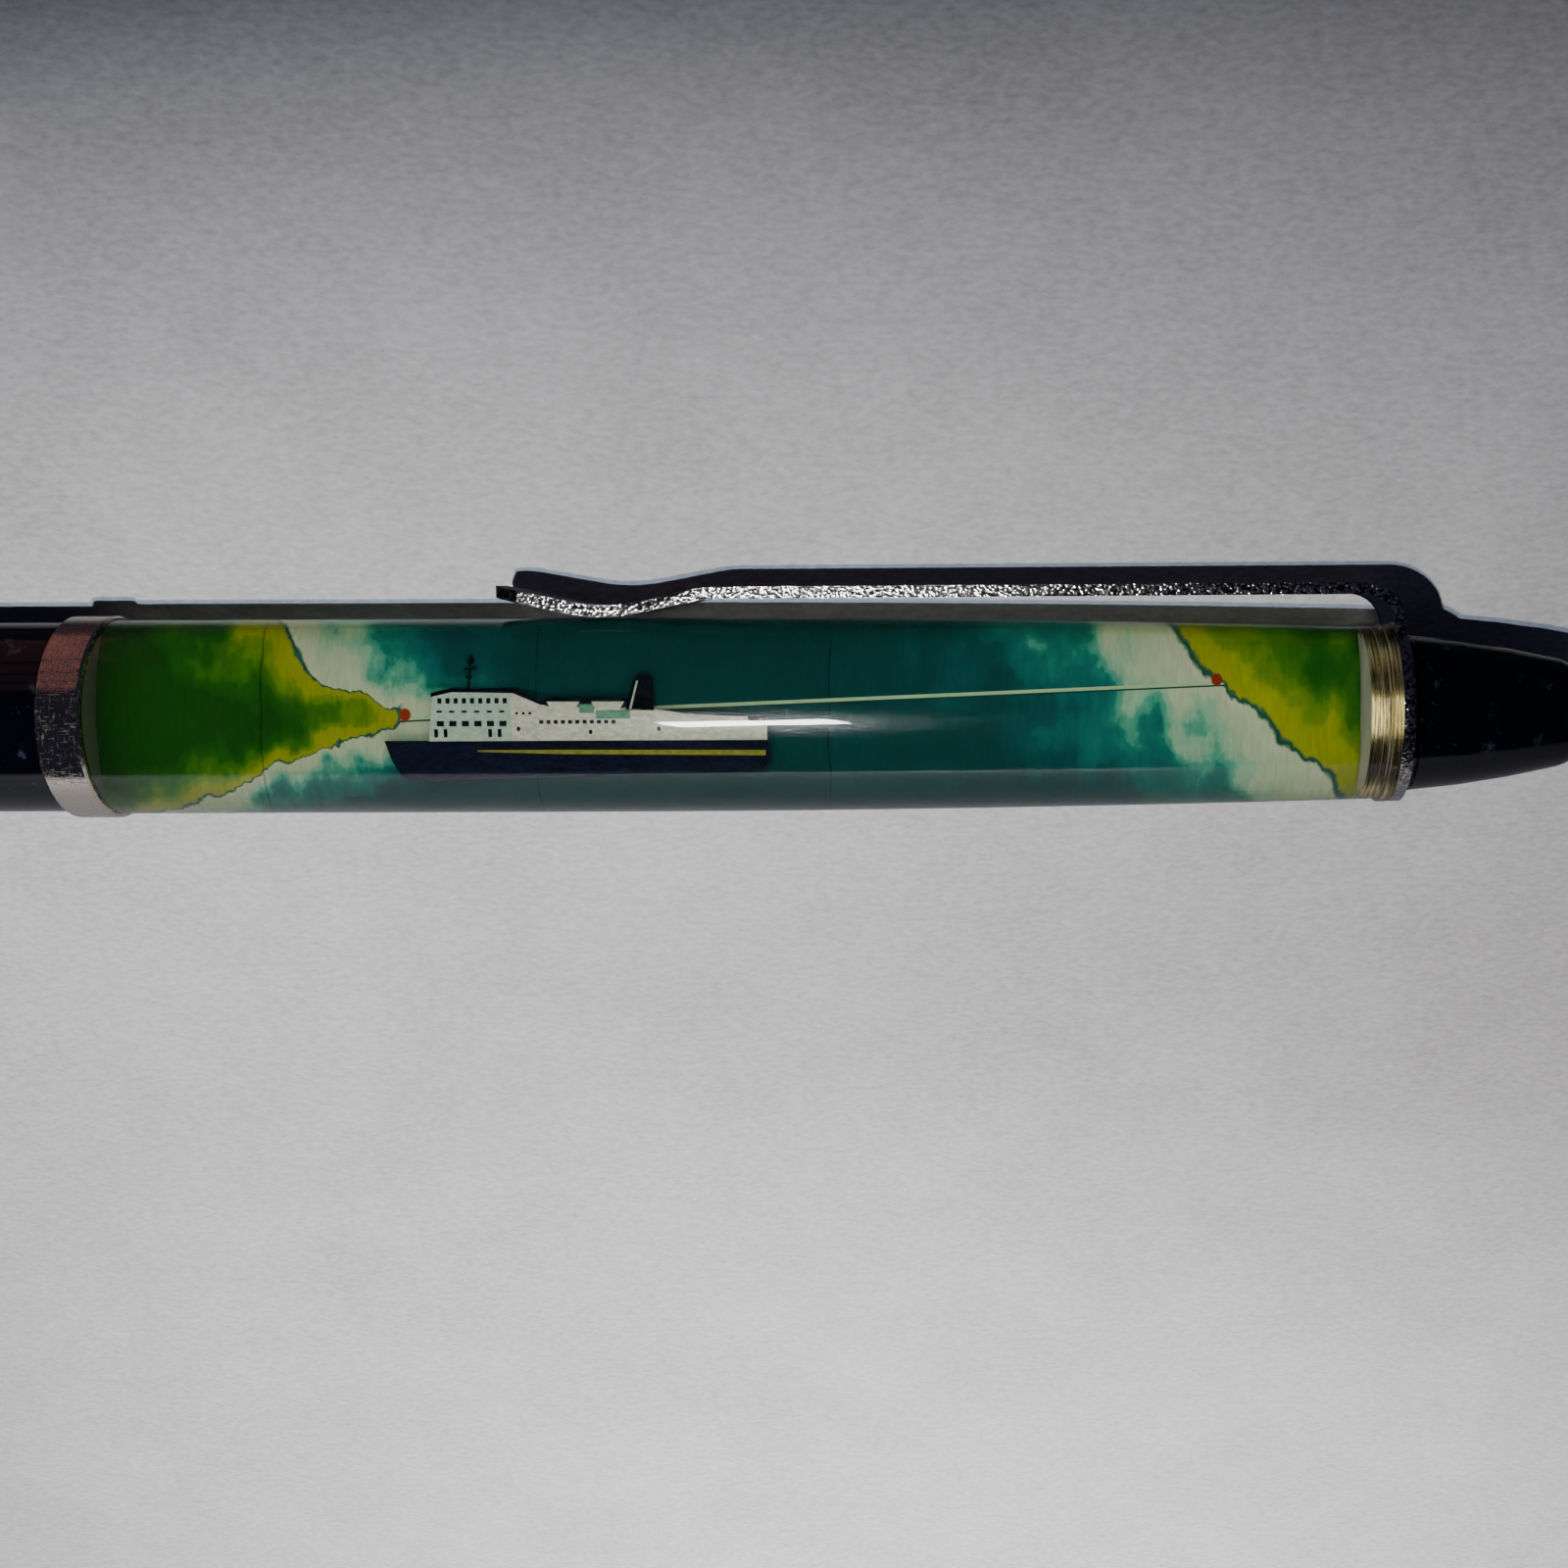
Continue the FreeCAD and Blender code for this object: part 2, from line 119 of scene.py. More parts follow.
def colour_of(name, sample, description):
    """A colour, given as sRGB hex."""
    return FloatVectorProperty(
        name=name, description=description, default=linear(sample), size=4, subtype="COLOR"
    )


class TubeSizes(bpy.types.PropertyGroup):
    """Sizes of the clear tube"""

    segments: IntProperty(name="Segments", description="Facets round the tube", default=128)
    radius: length_of("Radius", 5.2, "Outer radius at the band")
    neck: length_of("Neck", 4.75, "Radius under the band")
    bore: length_of("Bore", 4.2, "Radius of the bore")
    straight: length_of("Straight", 25.0, "Length before it slims")
    drop: length_of("Slimming", 0.575, "Radius lost at the clip end")
    edge: length_of("Edge", 0.06, "Bevel beside the band")
    bead: length_of("End bead", 0.15, "Height of the end bead")
    bead_width: length_of("Bead width", 0.7, "Width of the end bead")
    rib_foot: length_of("Rib foot", 3.35, "Ribs reach in to here")


class FerrySizes(bpy.types.PropertyGroup):
    """Sizes of the ferry's cut film"""

    bow: length_of("Bow", 14.55, "Bow, from the band's edge")
    film_back: length_of("Film back", 0.1, "Back of the cut film")
    film_face: length_of("Film face", 0.26, "Face of the cut film")
    ink: length_of("Ink", 0.01, "Thickness of a printed layer")


class InkColours(bpy.types.PropertyGroup):
    """Colours of the ferry's inks"""

    navy: colour_of("Hull", "#0A1024", "Ink of the hull")
    white: colour_of("House", "#E6E6D8", "Ink of the house and boats")
    mint: colour_of("Front", "#BDD6C6", "Ink of the house's front")
    sea_green: colour_of("Tarpaulins", "#6FA98F", "Ink of the tarpaulins")
    black: colour_of("Outlines", "#070D14", "Ink of funnel, mast, roof and windows")
    yellow: colour_of("Stripe", "#9C9A3A", "Ink of the hull's stripe")


class FinishColours(bpy.types.PropertyGroup):
    """Colours of the pen's other materials and of its paper floor"""

    barrel: colour_of("Barrel", "#03040A", "Navy-black barrel and cap")
    dust: colour_of("Dust", "#2C3240", "Dusty smudges on barrel and cap")
    chrome: colour_of("Chrome", "#DDD3C4", "Plate on band and nose")
    route: colour_of("Route", "#A9CDA0", "Pale line across the water")
    port: colour_of("Ports", "#8C2E14", "Spots at the route's ends")
    refill: colour_of("Refill", "#22307A", "Inked refill tube")
    paper: colour_of("Paper", "#DBD9D7", "Middle tone of the floor")


class ViewSizes(bpy.types.PropertyGroup):
    """Where the photograph was taken from, and what the pen's gloss mirrors"""

    lens: FloatProperty(name="Lens", description="Focal length", default=45.0, unit="CAMERA")
    shift: FloatProperty(name="Shift", description="Sideways lens shift", default=-0.125)
    aim: length_of("Aim", 46.0, "From the band's edge")
    distance: length_of("Distance", 105.3, "Lens to pen")
    below: length_of("Below", 3.77, "Lens below the axis")
    lean: angle_of("Lean", 5.6, "Lens off the picture's normal")
    twist: angle_of("Twist", 0.19, "Turn about the line of sight")
    sheet_lean: angle_of("Sheet lean", 18.0, "Lean of the mirrored sheet")
    sheet_fall: angle_of("Sheet fall", 36.0, "Fall of its other half")
    room_light: FloatProperty(
        name="Room light", description="Radiance of the warm room", default=0.5
    )


GROUPS = {
    "pen_tube": TubeSizes,
    "pen_ferry": FerrySizes,
    "pen_inks": InkColours,
    "pen_finishes": FinishColours,
    "pen_view": ViewSizes,
}


# ---------------------------------------------------------------- modelling helpers


def deselect_all():
    """Leaves edit mode with nothing selected."""
    if bpy.context.object and bpy.context.object.mode == "EDIT":
        bpy.ops.object.mode_set(mode="OBJECT")
    bpy.ops.object.select_all(action="DESELECT")


def select_only(piece):
    """Makes a piece the only selected one, and the active one."""
    deselect_all()
    bpy.context.view_layer.objects.active = piece
    piece.select_set(True)


def apply_place():
    """Puts the selected piece's location, rotation and scale into its mesh."""
    bpy.ops.object.transform_apply(location=True, rotation=True, scale=True)


def place(piece, body):
    """Moves a piece drawn on the pen's axes into the frame, onto a body."""
    select_only(piece)
    piece.matrix_world = PLACE @ piece.matrix_world
    apply_place()
    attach(piece, body)


def add_turned(name, profile, segments):
    """Turns a closed (x, radius) profile about the pen's axis, ring by ring."""
    deselect_all()
    x, radius = profile[0]
    bpy.ops.mesh.primitive_circle_add(
        vertices=segments, radius=radius, location=(x, 0, 0), rotation=(0, math.pi / 2, 0)
    )
    apply_place()
    piece = bpy.context.object
    piece.name = name
    bpy.ops.object.mode_set(mode="EDIT")
    bpy.ops.mesh.select_all(action="SELECT")
    for x_next, radius_next in profile[1:] + profile[:1]:
        bpy.ops.mesh.extrude_edges_move(TRANSFORM_OT_translate={"value": (x_next - x, 0, 0)})
        widen = radius_next / radius
        bpy.ops.transform.resize(value=(1, widen, widen), center_override=(x_next, 0, 0))
        x, radius = x_next, radius_next
    bpy.ops.mesh.select_all(action="SELECT")
    bpy.ops.mesh.remove_doubles(threshold=0.0005)
    bpy.ops.mesh.normals_make_consistent(inside=False)
    bpy.ops.object.mode_set(mode="OBJECT")
    return piece


def add_block(low, high):
    """A box between two corners, for joining into a larger piece."""
    deselect_all()
    middle = [(a + b) / 2 for a, b in zip(low, high)]
    size = [b - a for a, b in zip(low, high)]
    bpy.ops.mesh.primitive_cube_add(size=1, location=middle, scale=size)
    apply_place()
    return bpy.context.object


def join(pieces, name):
    """Joins several meshes into the first one."""
    deselect_all()
    for piece in pieces:
        piece.select_set(True)
    bpy.context.view_layer.objects.active = pieces[0]
    bpy.ops.object.join()
    pieces[0].name = name
    return pieces[0]


def add_cut(outlines, low, high, material):
    """Flat shapes cut from film: closed (x, y) outlines, solid between two heights."""
    curve = bpy.data.curves.new("cut", "CURVE")
    curve.dimensions = "2D"
    curve.fill_mode = "BOTH"
    curve.extrude = (high - low) / 2
    for outline in outlines:
        spline = curve.splines.new("POLY")
        spline.points.add(len(outline) - 1)
        for point, (x, y) in zip(spline.points, outline):
            point.co = (x, y, 0, 1)
        spline.use_cyclic_u = True
    curve.materials.append(material)
    piece = bpy.data.objects.new("cut", curve)
    bpy.context.scene.collection.objects.link(piece)
    piece.location.z = (high + low) / 2
    select_only(piece)
    bpy.ops.object.convert(target="MESH")
    apply_place()
    return bpy.context.object


def rectangle(left, bottom, right, top):
    """Outline of a rectangle."""
    return [(left, bottom), (right, bottom), (right, top), (left, top)]


def oval(x, y, half_width, half_height, points=16):
    """Outline of an oval about a centre."""
    turns = [2 * math.pi * i / points for i in range(points)]
    return [(x + half_width * math.cos(t), y + half_height * math.sin(t)) for t in turns]


# ---------------------------------------------------------------- material helpers


def new_material(name, **inputs):
    """A material whose Principled shader has these settings, spaces as underscores."""
    material = bpy.data.materials.new(name)
    material.use_nodes = True
    shader = material.node_tree.nodes["Principled BSDF"]
    for key, value in inputs.items():
        shader.inputs[key.replace("_", " ")].default_value = value
    return material


def add_node(material, kind, inputs=None, stops=None, points=None, **settings):
    """Adds a node.  An input is a value or another node's output.

    Stops are (place, colour) on a ramp, with the colour as hex or as linear values, and
    points are (x, y) on a curve.
    """
    tree = material.node_tree
    node = tree.nodes.new(kind)
    for key, value in settings.items():
        setattr(node, key, value)
    for key, value in (inputs or {}).items():
        if isinstance(value, bpy.types.NodeSocket):
            tree.links.new(value, node.inputs[key])
        else:
            node.inputs[key].default_value = value
    if stops:
        ramp = node.color_ramp
        while len(ramp.elements) < len(stops):
            ramp.elements.new(0.5)
        for element, (place_on_ramp, colour) in zip(ramp.elements, stops):
            element.position = place_on_ramp
            element.color = linear(colour) if isinstance(colour, str) else colour
    if points:
        curve = node.mapping.curves[0]
        while len(curve.points) < len(points):
            curve.points.new(0.5, 0.5)
        for point, spot in zip(curve.points, points):
            point.location = spot
        node.mapping.update()
    return node


def feed(material, socket, output):
    """Links an output to a socket of the material's Principled shader."""
    shader = material.node_tree.nodes["Principled BSDF"]
    material.node_tree.links.new(output, shader.inputs[socket])


def pen_coordinates(material, grain=(1, 1, 1)):
    """Object coordinates in millimetres on the pen's own axes, times a grain for each.

    A large grain makes a pattern finer along its axis, and 0 leaves the axis out.
    """
    at = add_node(material, "ShaderNodeTexCoord")
    mapping = add_node(
        material,
        "ShaderNodeMapping",
        {
            "Vector": at.outputs["Object"],
            "Location": (BAND_EDGE, 0, 0),
            "Rotation": (-ROLL, 0, 0),
            "Scale": [MM / share if share else 0 for share in grain],
        },
        vector_type="TEXTURE",
    )
    return mapping.outputs["Vector"]


# ---------------------------------------------------------------- the picture

# The coasts by height, from the picture's bottom to its top: each point is a share of
# the picture's height, and a share of the sixteen millimetres that a coast may span.
COAST_SPAN = 16.0
WEST_COAST = [
    (0.0, 0.06), (0.14, 0.24), (0.3, 0.56), (0.42, 0.88), (0.5, 0.975),
    (0.58, 0.84), (0.68, 0.66), (0.82, 0.6), (1.0, 0.52),
]
EAST_COAST = [
    (0.0, 0.74), (0.2, 0.66), (0.36, 0.5), (0.5, 0.42), (0.63, 0.26), (0.78, 0.16), (1.0, 0.1),
]
WEST_START, EAST_START = -0.1, 54.4
PICTURE_HALF_HEIGHT = 4.2

# From deep water, 12 mm off the coast, over shallows and the coast's line to inland.
PICTURE_REACH = 12.0
PICTURE_COLOURS = [
    (0.02, "#004244"), (0.17, "#005254"), (0.19, "#00605F"), (0.27, "#08706A"),
    (0.3, "#128070"), (0.315, "#3E9C88"), (0.345, "#5AA890"), (0.36, "#86BC9F"),
    (0.4, "#9CC4A6"), (0.415, "#B2CAA9"), (0.488, "#C4D0B0"), (0.494, "#1C5A48"),
    (0.503, "#1C5A48"), (0.508, "#97A01C"), (0.56, "#8C9A10"), (0.575, "#6A8C0A"),
    (0.62, "#557E08"), (0.635, "#3A7408"), (0.69, "#2A6406"), (0.71, "#205A08"),
    (0.82, "#174808"),
]
# Where the print's upright dark hairlines stand, in millimetres along the pen.
DARK_HAIRLINES = (7.9, 22.5, 38.0)
WEST_PORT, EAST_PORT = (15.55, 0.0), (58.55, 1.15)
PORT_STRETCH = 1.35


def brush_wander(material, coordinates):
    """Coordinates shifted about as a brush wanders, in steps of about 1.5 mm."""
    wander = add_node(
        material,
        "ShaderNodeTexNoise",
        {"Vector": coordinates, "Scale": 0.55, "Detail": 4.0, "Roughness": 0.55},
    )
    centred = add_node(
        material,
        "ShaderNodeVectorMath",
        {0: wander.outputs["Color"], 1: (0.5, 0.5, 0.5)},
        operation="SUBTRACT",
    )
    wandered = add_node(
        material,
        "ShaderNodeVectorMath",
        {0: centred.outputs["Vector"], 1: (1.6, 1.6, 0.0), 2: coordinates},
        operation="MULTIPLY_ADD",
    )
    return add_node(material, "ShaderNodeSeparateXYZ", {"Vector": wandered.outputs["Vector"]})


def distance_inland(material, wandered):
    """Millimetres past the nearer coast, below zero on the water."""
    height = add_node(
        material,
        "ShaderNodeMapRange",
        {
            "Value": wandered.outputs["Y"],
            "From Min": -PICTURE_HALF_HEIGHT,
            "From Max": PICTURE_HALF_HEIGHT,
        },
    )
    coasts = []
    for points, start in ((WEST_COAST, WEST_START), (EAST_COAST, EAST_START)):
        share = add_node(
            material, "ShaderNodeFloatCurve", {"Value": height.outputs["Result"]}, points=points
        )
        coast = add_node(
            material,
            "ShaderNodeMath",
            {0: share.outputs["Value"], 1: COAST_SPAN, 2: start},
            operation="MULTIPLY_ADD",
        )
        coasts.append(coast.outputs[0])
    west = add_node(
        material, "ShaderNodeMath", {0: coasts[0], 1: wandered.outputs["X"]}, operation="SUBTRACT"
    )
    past_east = add_node(
        material, "ShaderNodeMath", {0: wandered.outputs["X"], 1: coasts[1]}, operation="SUBTRACT"
    )
    # The east coast slants, so its distance is shorter than the run along the pen.
    east = add_node(
        material, "ShaderNodeMath", {0: past_east.outputs[0], 1: 0.72}, operation="MULTIPLY"
    )
    nearer = add_node(
        material, "ShaderNodeMath", {0: west.outputs[0], 1: east.outputs[0]}, operation="MAXIMUM"
    )
    return nearer.outputs[0]


def washed_colours(material, inland):
    """The picture's colours by distance inland, in patches of wash clear of the coasts."""
    wash = add_node(
        material,
        "ShaderNodeTexNoise",
        {"Vector": pen_coordinates(material, (0.42, 0.46, 0)), "Scale": 1.0, "Detail": 5.0},
    )
    wash_depth = add_node(
        material,
        "ShaderNodeMapRange",
        {
            "Value": wash.outputs["Fac"],
            "From Min": 0.3,
            "From Max": 0.7,
            "To Min": -2.4,
            "To Max": 2.4,
        },
    )
    off_coast = add_node(material, "ShaderNodeMath", {0: inland}, operation="ABSOLUTE")
    clear_of_coast = add_node(
        material,
        "ShaderNodeMapRange",
        {"Value": off_coast.outputs[0], "From Min": 0.5, "From Max": 2.6},
    )
    depth = add_node(
        material,
        "ShaderNodeMath",
        {0: wash_depth.outputs["Result"], 1: clear_of_coast.outputs["Result"], 2: inland},
        operation="MULTIPLY_ADD",
    )
    ramp_place = add_node(
        material,
        "ShaderNodeMapRange",
        {"Value": depth.outputs[0], "From Min": -PICTURE_REACH, "From Max": PICTURE_REACH},
    )
    colours = add_node(
        material,
        "ShaderNodeValToRGB",
        {"Fac": ramp_place.outputs["Result"]},
        stops=PICTURE_COLOURS,
    )
    return colours.outputs["Color"]


def stroked(material, picture, strokes):
    """Wash strokes a fifth of a millimetre wide lighten and darken every colour."""
    tone = add_node(
        material,
        "ShaderNodeMapRange",
        {"Value": strokes, "From Min": 0.3, "From Max": 0.7, "To Min": 0.86, "To Max": 1.08},
    )
    toned = add_node(
        material,
        "ShaderNodeVectorMath",
        {0: picture, "Scale": tone.outputs["Result"]},
        operation="SCALE",
    )
    return toned.outputs["Vector"]


def with_dark_hairlines(material, picture, coordinates, wandered):
    """Three upright dark hairlines, a tenth of a millimetre wide, drawn darker into the print."""
    straight = add_node(material, "ShaderNodeSeparateXYZ", {"Vector": coordinates})
    drift = add_node(
        material,
        "ShaderNodeMath",
        {0: wandered.outputs["X"], 1: straight.outputs["X"]},
        operation="SUBTRACT",
    )
    drifted = add_node(
        material,
        "ShaderNodeMath",
        {0: drift.outputs[0], 1: 0.35, 2: straight.outputs["X"]},
        operation="MULTIPLY_ADD",
    )
    for hairline in DARK_HAIRLINES:
        past = add_node(
            material, "ShaderNodeMath", {0: drifted.outputs[0], 1: hairline}, operation="SUBTRACT"
        )
        off = add_node(material, "ShaderNodeMath", {0: past.outputs[0]}, operation="ABSOLUTE")
        shade = add_node(
            material,
            "ShaderNodeMapRange",
            {"Value": off.outputs[0], "From Min": 0.02, "From Max": 0.06, "To Min": 0.45},
        )
        shaded = add_node(
            material,
            "ShaderNodeVectorMath",
            {0: picture, "Scale": shade.outputs["Result"]},
            operation="SCALE",
        )
        picture = shaded.outputs["Vector"]
    return picture


def with_route(material, picture, inland, pale):
    """The ferry's route: a pale line with a dark lower edge, turned level to be measured."""
    slope = math.atan2(EAST_PORT[1] - WEST_PORT[1], EAST_PORT[0] - WEST_PORT[0])
    start = Matrix.Rotation(-slope, 2) @ Vector(WEST_PORT)
    level = add_node(
        material,
        "ShaderNodeMapping",
        {
            "Vector": pen_coordinates(material, (1, 1, 0)),
            "Location": (-start.x, -start.y, 0),
            "Rotation": (0, 0, -slope),
        },
    )
    across = add_node(material, "ShaderNodeSeparateXYZ", {"Vector": level.outputs["Vector"]})
    # One millimetre across the line fills the ramps.
    route = add_node(
        material,
        "ShaderNodeMapRange",
        {"Value": across.outputs["Y"], "From Min": -0.5, "From Max": 0.5},
    )
    line = add_node(
        material,
        "ShaderNodeValToRGB",
        {"Fac": route.outputs["Result"]},
        stops=[(0.24, "#000000"), (0.26, "#FFFFFF"), (0.42, "#FFFFFF"), (0.44, "#000000")],
    )
    line_colour = add_node(
        material,
        "ShaderNodeValToRGB",
        {"Fac": route.outputs["Result"]},
        stops=[(0.2, "#003A38"), (0.30, "#003A38"), (0.32, pale), (0.66, pale)],
    )
    on_water = add_node(
        material,
        "ShaderNodeMapRange",
        {"Value": inland, "From Min": -0.2, "From Max": 0.0, "To Min": 1.0, "To Max": 0.0},
    )
    mask = add_node(
        material,
        "ShaderNodeMath",
        {0: line.outputs["Color"], 1: on_water.outputs["Result"]},
        operation="MULTIPLY",
    )
    drawn = add_node(
        material,
        "ShaderNodeMix",
        {"Factor": mask.outputs[0], "A": picture, "B": line_colour.outputs["Color"]},
        data_type="RGBA",
    )
    return drawn.outputs["Result"]


def with_ports(material, picture, colour):
    """A spot 0.6 mm wide at each end of the route."""
    flattened = pen_coordinates(material, (1, PORT_STRETCH, 0))
    for x, y in (WEST_PORT, EAST_PORT):
        away = add_node(
            material,
            "ShaderNodeVectorMath",
            {0: flattened, 1: (x, PORT_STRETCH * y, 0.0)},
            operation="DISTANCE",
        )
        spot = add_node(
            material,
            "ShaderNodeMapRange",
            {
                "Value": away.outputs["Value"],
                "From Min": 0.26,
                "From Max": 0.34,
                "To Min": 1.0,
                "To Max": 0.0,
            },
        )
        drawn = add_node(
            material,
            "ShaderNodeMix",
            {"Factor": spot.outputs["Result"], "A": picture, "B": colour},
            data_type="RGBA",
        )
        picture = drawn.outputs["Result"]
    return picture


def printed_picture(colours):
    """Offset-printed film: two green headlands, pale shallows and deep teal water."""
    material = new_material("printed_picture", Roughness=0.5, IOR=1.08)
    coordinates = pen_coordinates(material)
    wandered = brush_wander(material, coordinates)
    inland = distance_inland(material, wandered)
    strokes = add_node(
        material,
        "ShaderNodeTexNoise",
        {"Vector": pen_coordinates(material, (5.0, 1.2, 0)), "Scale": 1.0, "Detail": 6.0},
    )
    picture = washed_colours(material, inland)
    picture = stroked(material, picture, strokes.outputs["Fac"])
    picture = with_dark_hairlines(material, picture, coordinates, wandered)
    picture = with_route(material, picture, inland, colours.route)
    picture = with_ports(material, picture, colours.port)
    feed(material, "Base Color", picture)
    bump = add_node(
        material,
        "ShaderNodeBump",
        {"Height": strokes.outputs["Fac"], "Strength": 0.1, "Distance": 0.01 * MM},
    )
    feed(material, "Normal", bump.outputs["Normal"])
    return material


# ---------------------------------------------------------------- other materials


def polished_acrylic():
    """Moulded acrylic, polished: clear as glass, a little warm, its skin finely scuffed."""
    # All its gloss is in the coat, so the scuffs roughen that and not what lies behind.
    material = new_material(
        "polished_acrylic",
        Base_Color=linear("#FBFBF2"),
        Roughness=0.01,
        IOR=1.49,
        Transmission_Weight=1.0,
        Specular_IOR_Level=0.0,
        Coat_Weight=0.65,
        Coat_Roughness=0.12,
        Coat_IOR=1.33,
    )
    # Scuffs 0.3 mm long and 0.13 mm wide.
    scuffs = add_node(
        material,
        "ShaderNodeTexNoise",
        {"Vector": pen_coordinates(material, (2.5, 6, 6)), "Scale": 1.3, "Detail": 4.0},
    )
    rough = add_node(
        material,
        "ShaderNodeMapRange",
        {
            "Value": scuffs.outputs["Fac"],
            "From Min": 0.4,
            "From Max": 0.7,
            "To Min": 0.06,
            "To Max": 0.22,
        },
    )
    feed(material, "Coat Roughness", rough.outputs["Result"])
    bump = add_node(
        material,
        "ShaderNodeBump",
        {"Height": scuffs.outputs["Fac"], "Strength": 1.0, "Distance": 0.02 * MM},
    )
    feed(material, "Coat Normal", bump.outputs["Normal"])
    return material


def acrylic_against_oil():
    """The bore's surface, wetted by mineral oil: the step in index is nearly nothing."""
    return new_material(
        "acrylic_against_oil",
        Base_Color=linear("#FDFDF6"),
        Roughness=0.0,
        IOR=1.012,
        Transmission_Weight=1.0,
    )


def film_in_oil():
    """Clear polyester film in oil of nearly its own index: hardly to be seen."""
    return new_material(
        "film_in_oil", Base_Color=linear("#101610"), Roughness=0.3, IOR=1.05, Alpha=0.01
    )


def printed_ink(name, colour, worn):
    """Ink on cut film: flat colour that the rubbing of the strip has worn a little."""
    material = new_material(name, Roughness=0.45, IOR=1.08)
    grain = add_node(
        material,
        "ShaderNodeTexNoise",
        {"Vector": pen_coordinates(material, (2, 5, 1)), "Scale": 1.6, "Detail": 6.0},
    )
    colours = add_node(
        material,
        "ShaderNodeValToRGB",
        {"Fac": grain.outputs["Fac"]},
        stops=[(0.38, worn), (0.62, colour)],
    )
    feed(material, "Base Color", colours.outputs["Color"])
    return material


def chrome_plate(colour):
    """Bright chrome plate, carried in pockets for years: mirror with fine cross scratches."""
    material = new_material("chrome_plate", Base_Color=colour, Metallic=1.0, Roughness=0.12)
    # Scratches 0.07 mm wide and half a millimetre long, one way and the other.
    one_way = add_node(
        material,
        "ShaderNodeTexNoise",
        {"Vector": pen_coordinates(material, (1.4, 9, 9)), "Scale": 1.5, "Detail": 1.0},
    )
    other_way = add_node(
        material,
        "ShaderNodeTexNoise",
        {"Vector": pen_coordinates(material, (9, 1.4, 1.4)), "Scale": 1.5, "Detail": 1.0},
    )
    scratches = add_node(
        material,
        "ShaderNodeMath",
        {0: one_way.outputs["Fac"], 1: other_way.outputs["Fac"]},
        operation="MAXIMUM",
    )
    rough = add_node(
        material,
        "ShaderNodeMapRange",
        {
            "Value": scratches.outputs[0],
            "From Min": 0.55,
            "From Max": 0.7,
            "To Min": 0.05,
            "To Max": 0.36,
        },
    )
    feed(material, "Roughness", rough.outputs["Result"])
    bump = add_node(
        material,
        "ShaderNodeBump",
        {"Height": scratches.outputs[0], "Strength": 0.3, "Distance": 0.03 * MM},
    )
    feed(material, "Normal", bump.outputs["Normal"])
    return material


def sheared_edge(material):
    """How far a face looks out of the picture: 1 on the strip's sheared edges."""
    facing = add_node(material, "ShaderNodeNewGeometry")
    edge_on = add_node(
        material,
        "ShaderNodeVectorMath",
        {0: facing.outputs["True Normal"], 1: OUT_OF_PICTURE},
        operation="DOT_PRODUCT",
    )
    edge = add_node(
        material, "ShaderNodeMath", {0: edge_on.outputs["Value"]}, operation="ABSOLUTE"
    )
    return edge.outputs[0]


def rusted_tip(material, coordinates):
    """Plate that is gone at the tip, where the steel has rusted."""
    along = add_node(material, "ShaderNodeSeparateXYZ", {"Vector": coordinates})
    rust = add_node(
        material,
        "ShaderNodeMapRange",
        {
            "Value": along.outputs["X"],
            "From Min": 20.5,
            "From Max": 21.6,
            "To Min": 0.75,
            "To Max": 0.0,
        },
    )
    blotches = add_node(
        material, "ShaderNodeTexNoise", {"Vector": coordinates, "Scale": 2.0, "Detail": 3.0}
    )
    patchy = add_node(
        material,
        "ShaderNodeMath",
        {0: rust.outputs["Result"], 1: blotches.outputs["Fac"]},
        operation="MULTIPLY",
    )
    colours = add_node(
        material,
        "ShaderNodeValToRGB",
        {"Fac": patchy.outputs[0]},
        stops=[(0.1, "#DEDAD6"), (0.3, "#6B4330")],
    )
    return colours.outputs["Color"]


def stamped_chrome():
    """Chromed spring strip: bright faces, and sheared edges as rough as torn metal, their pits
    painted dark as shade.
    """
    material = new_material("stamped_chrome", Metallic=1.0, Roughness=0.15)
    edge = sheared_edge(material)
    # Shear tears a sixth of a millimetre across, bumped, with pits between bright lands that are
    # painted dark as shade.
    tears = add_node(
        material,
        "ShaderNodeTexNoise",
        {"Vector": pen_coordinates(material, (0.8, 1, 1)), "Scale": 6.5, "Detail": 1.0},
    )
    relief = add_node(
        material, "ShaderNodeMath", {0: tears.outputs["Fac"], 1: edge}, operation="MULTIPLY"
    )
    rough = add_node(
        material, "ShaderNodeMapRange", {"Value": edge, "To Min": 0.12, "To Max": 0.15}
    )
    feed(material, "Roughness", rough.outputs["Result"])
    bump = add_node(
        material,
        "ShaderNodeBump",
        {"Height": relief.outputs[0], "Strength": 1.0, "Distance": 0.05 * MM},
    )
    feed(material, "Normal", bump.outputs["Normal"])
    # Painted shade: the sheared edges' colour is darkened in the tears' pits.
    land_and_pit_shade = add_node(
        material,
        "ShaderNodeMapRange",
        {"Value": tears.outputs["Fac"], "From Min": 0.44, "From Max": 0.56, "To Min": 0.12},
    )
    pits_painted_dark = add_node(
        material, "ShaderNodeMix", {"Factor": edge, "A": 1.0, "B": land_and_pit_shade.outputs["Result"]}
    )
    metal = add_node(
        material,
        "ShaderNodeVectorMath",
        {0: rusted_tip(material, pen_coordinates(material)), "Scale": pits_painted_dark.outputs["Result"]},
        operation="SCALE",
    )
    feed(material, "Base Color", metal.outputs["Vector"])
    return material


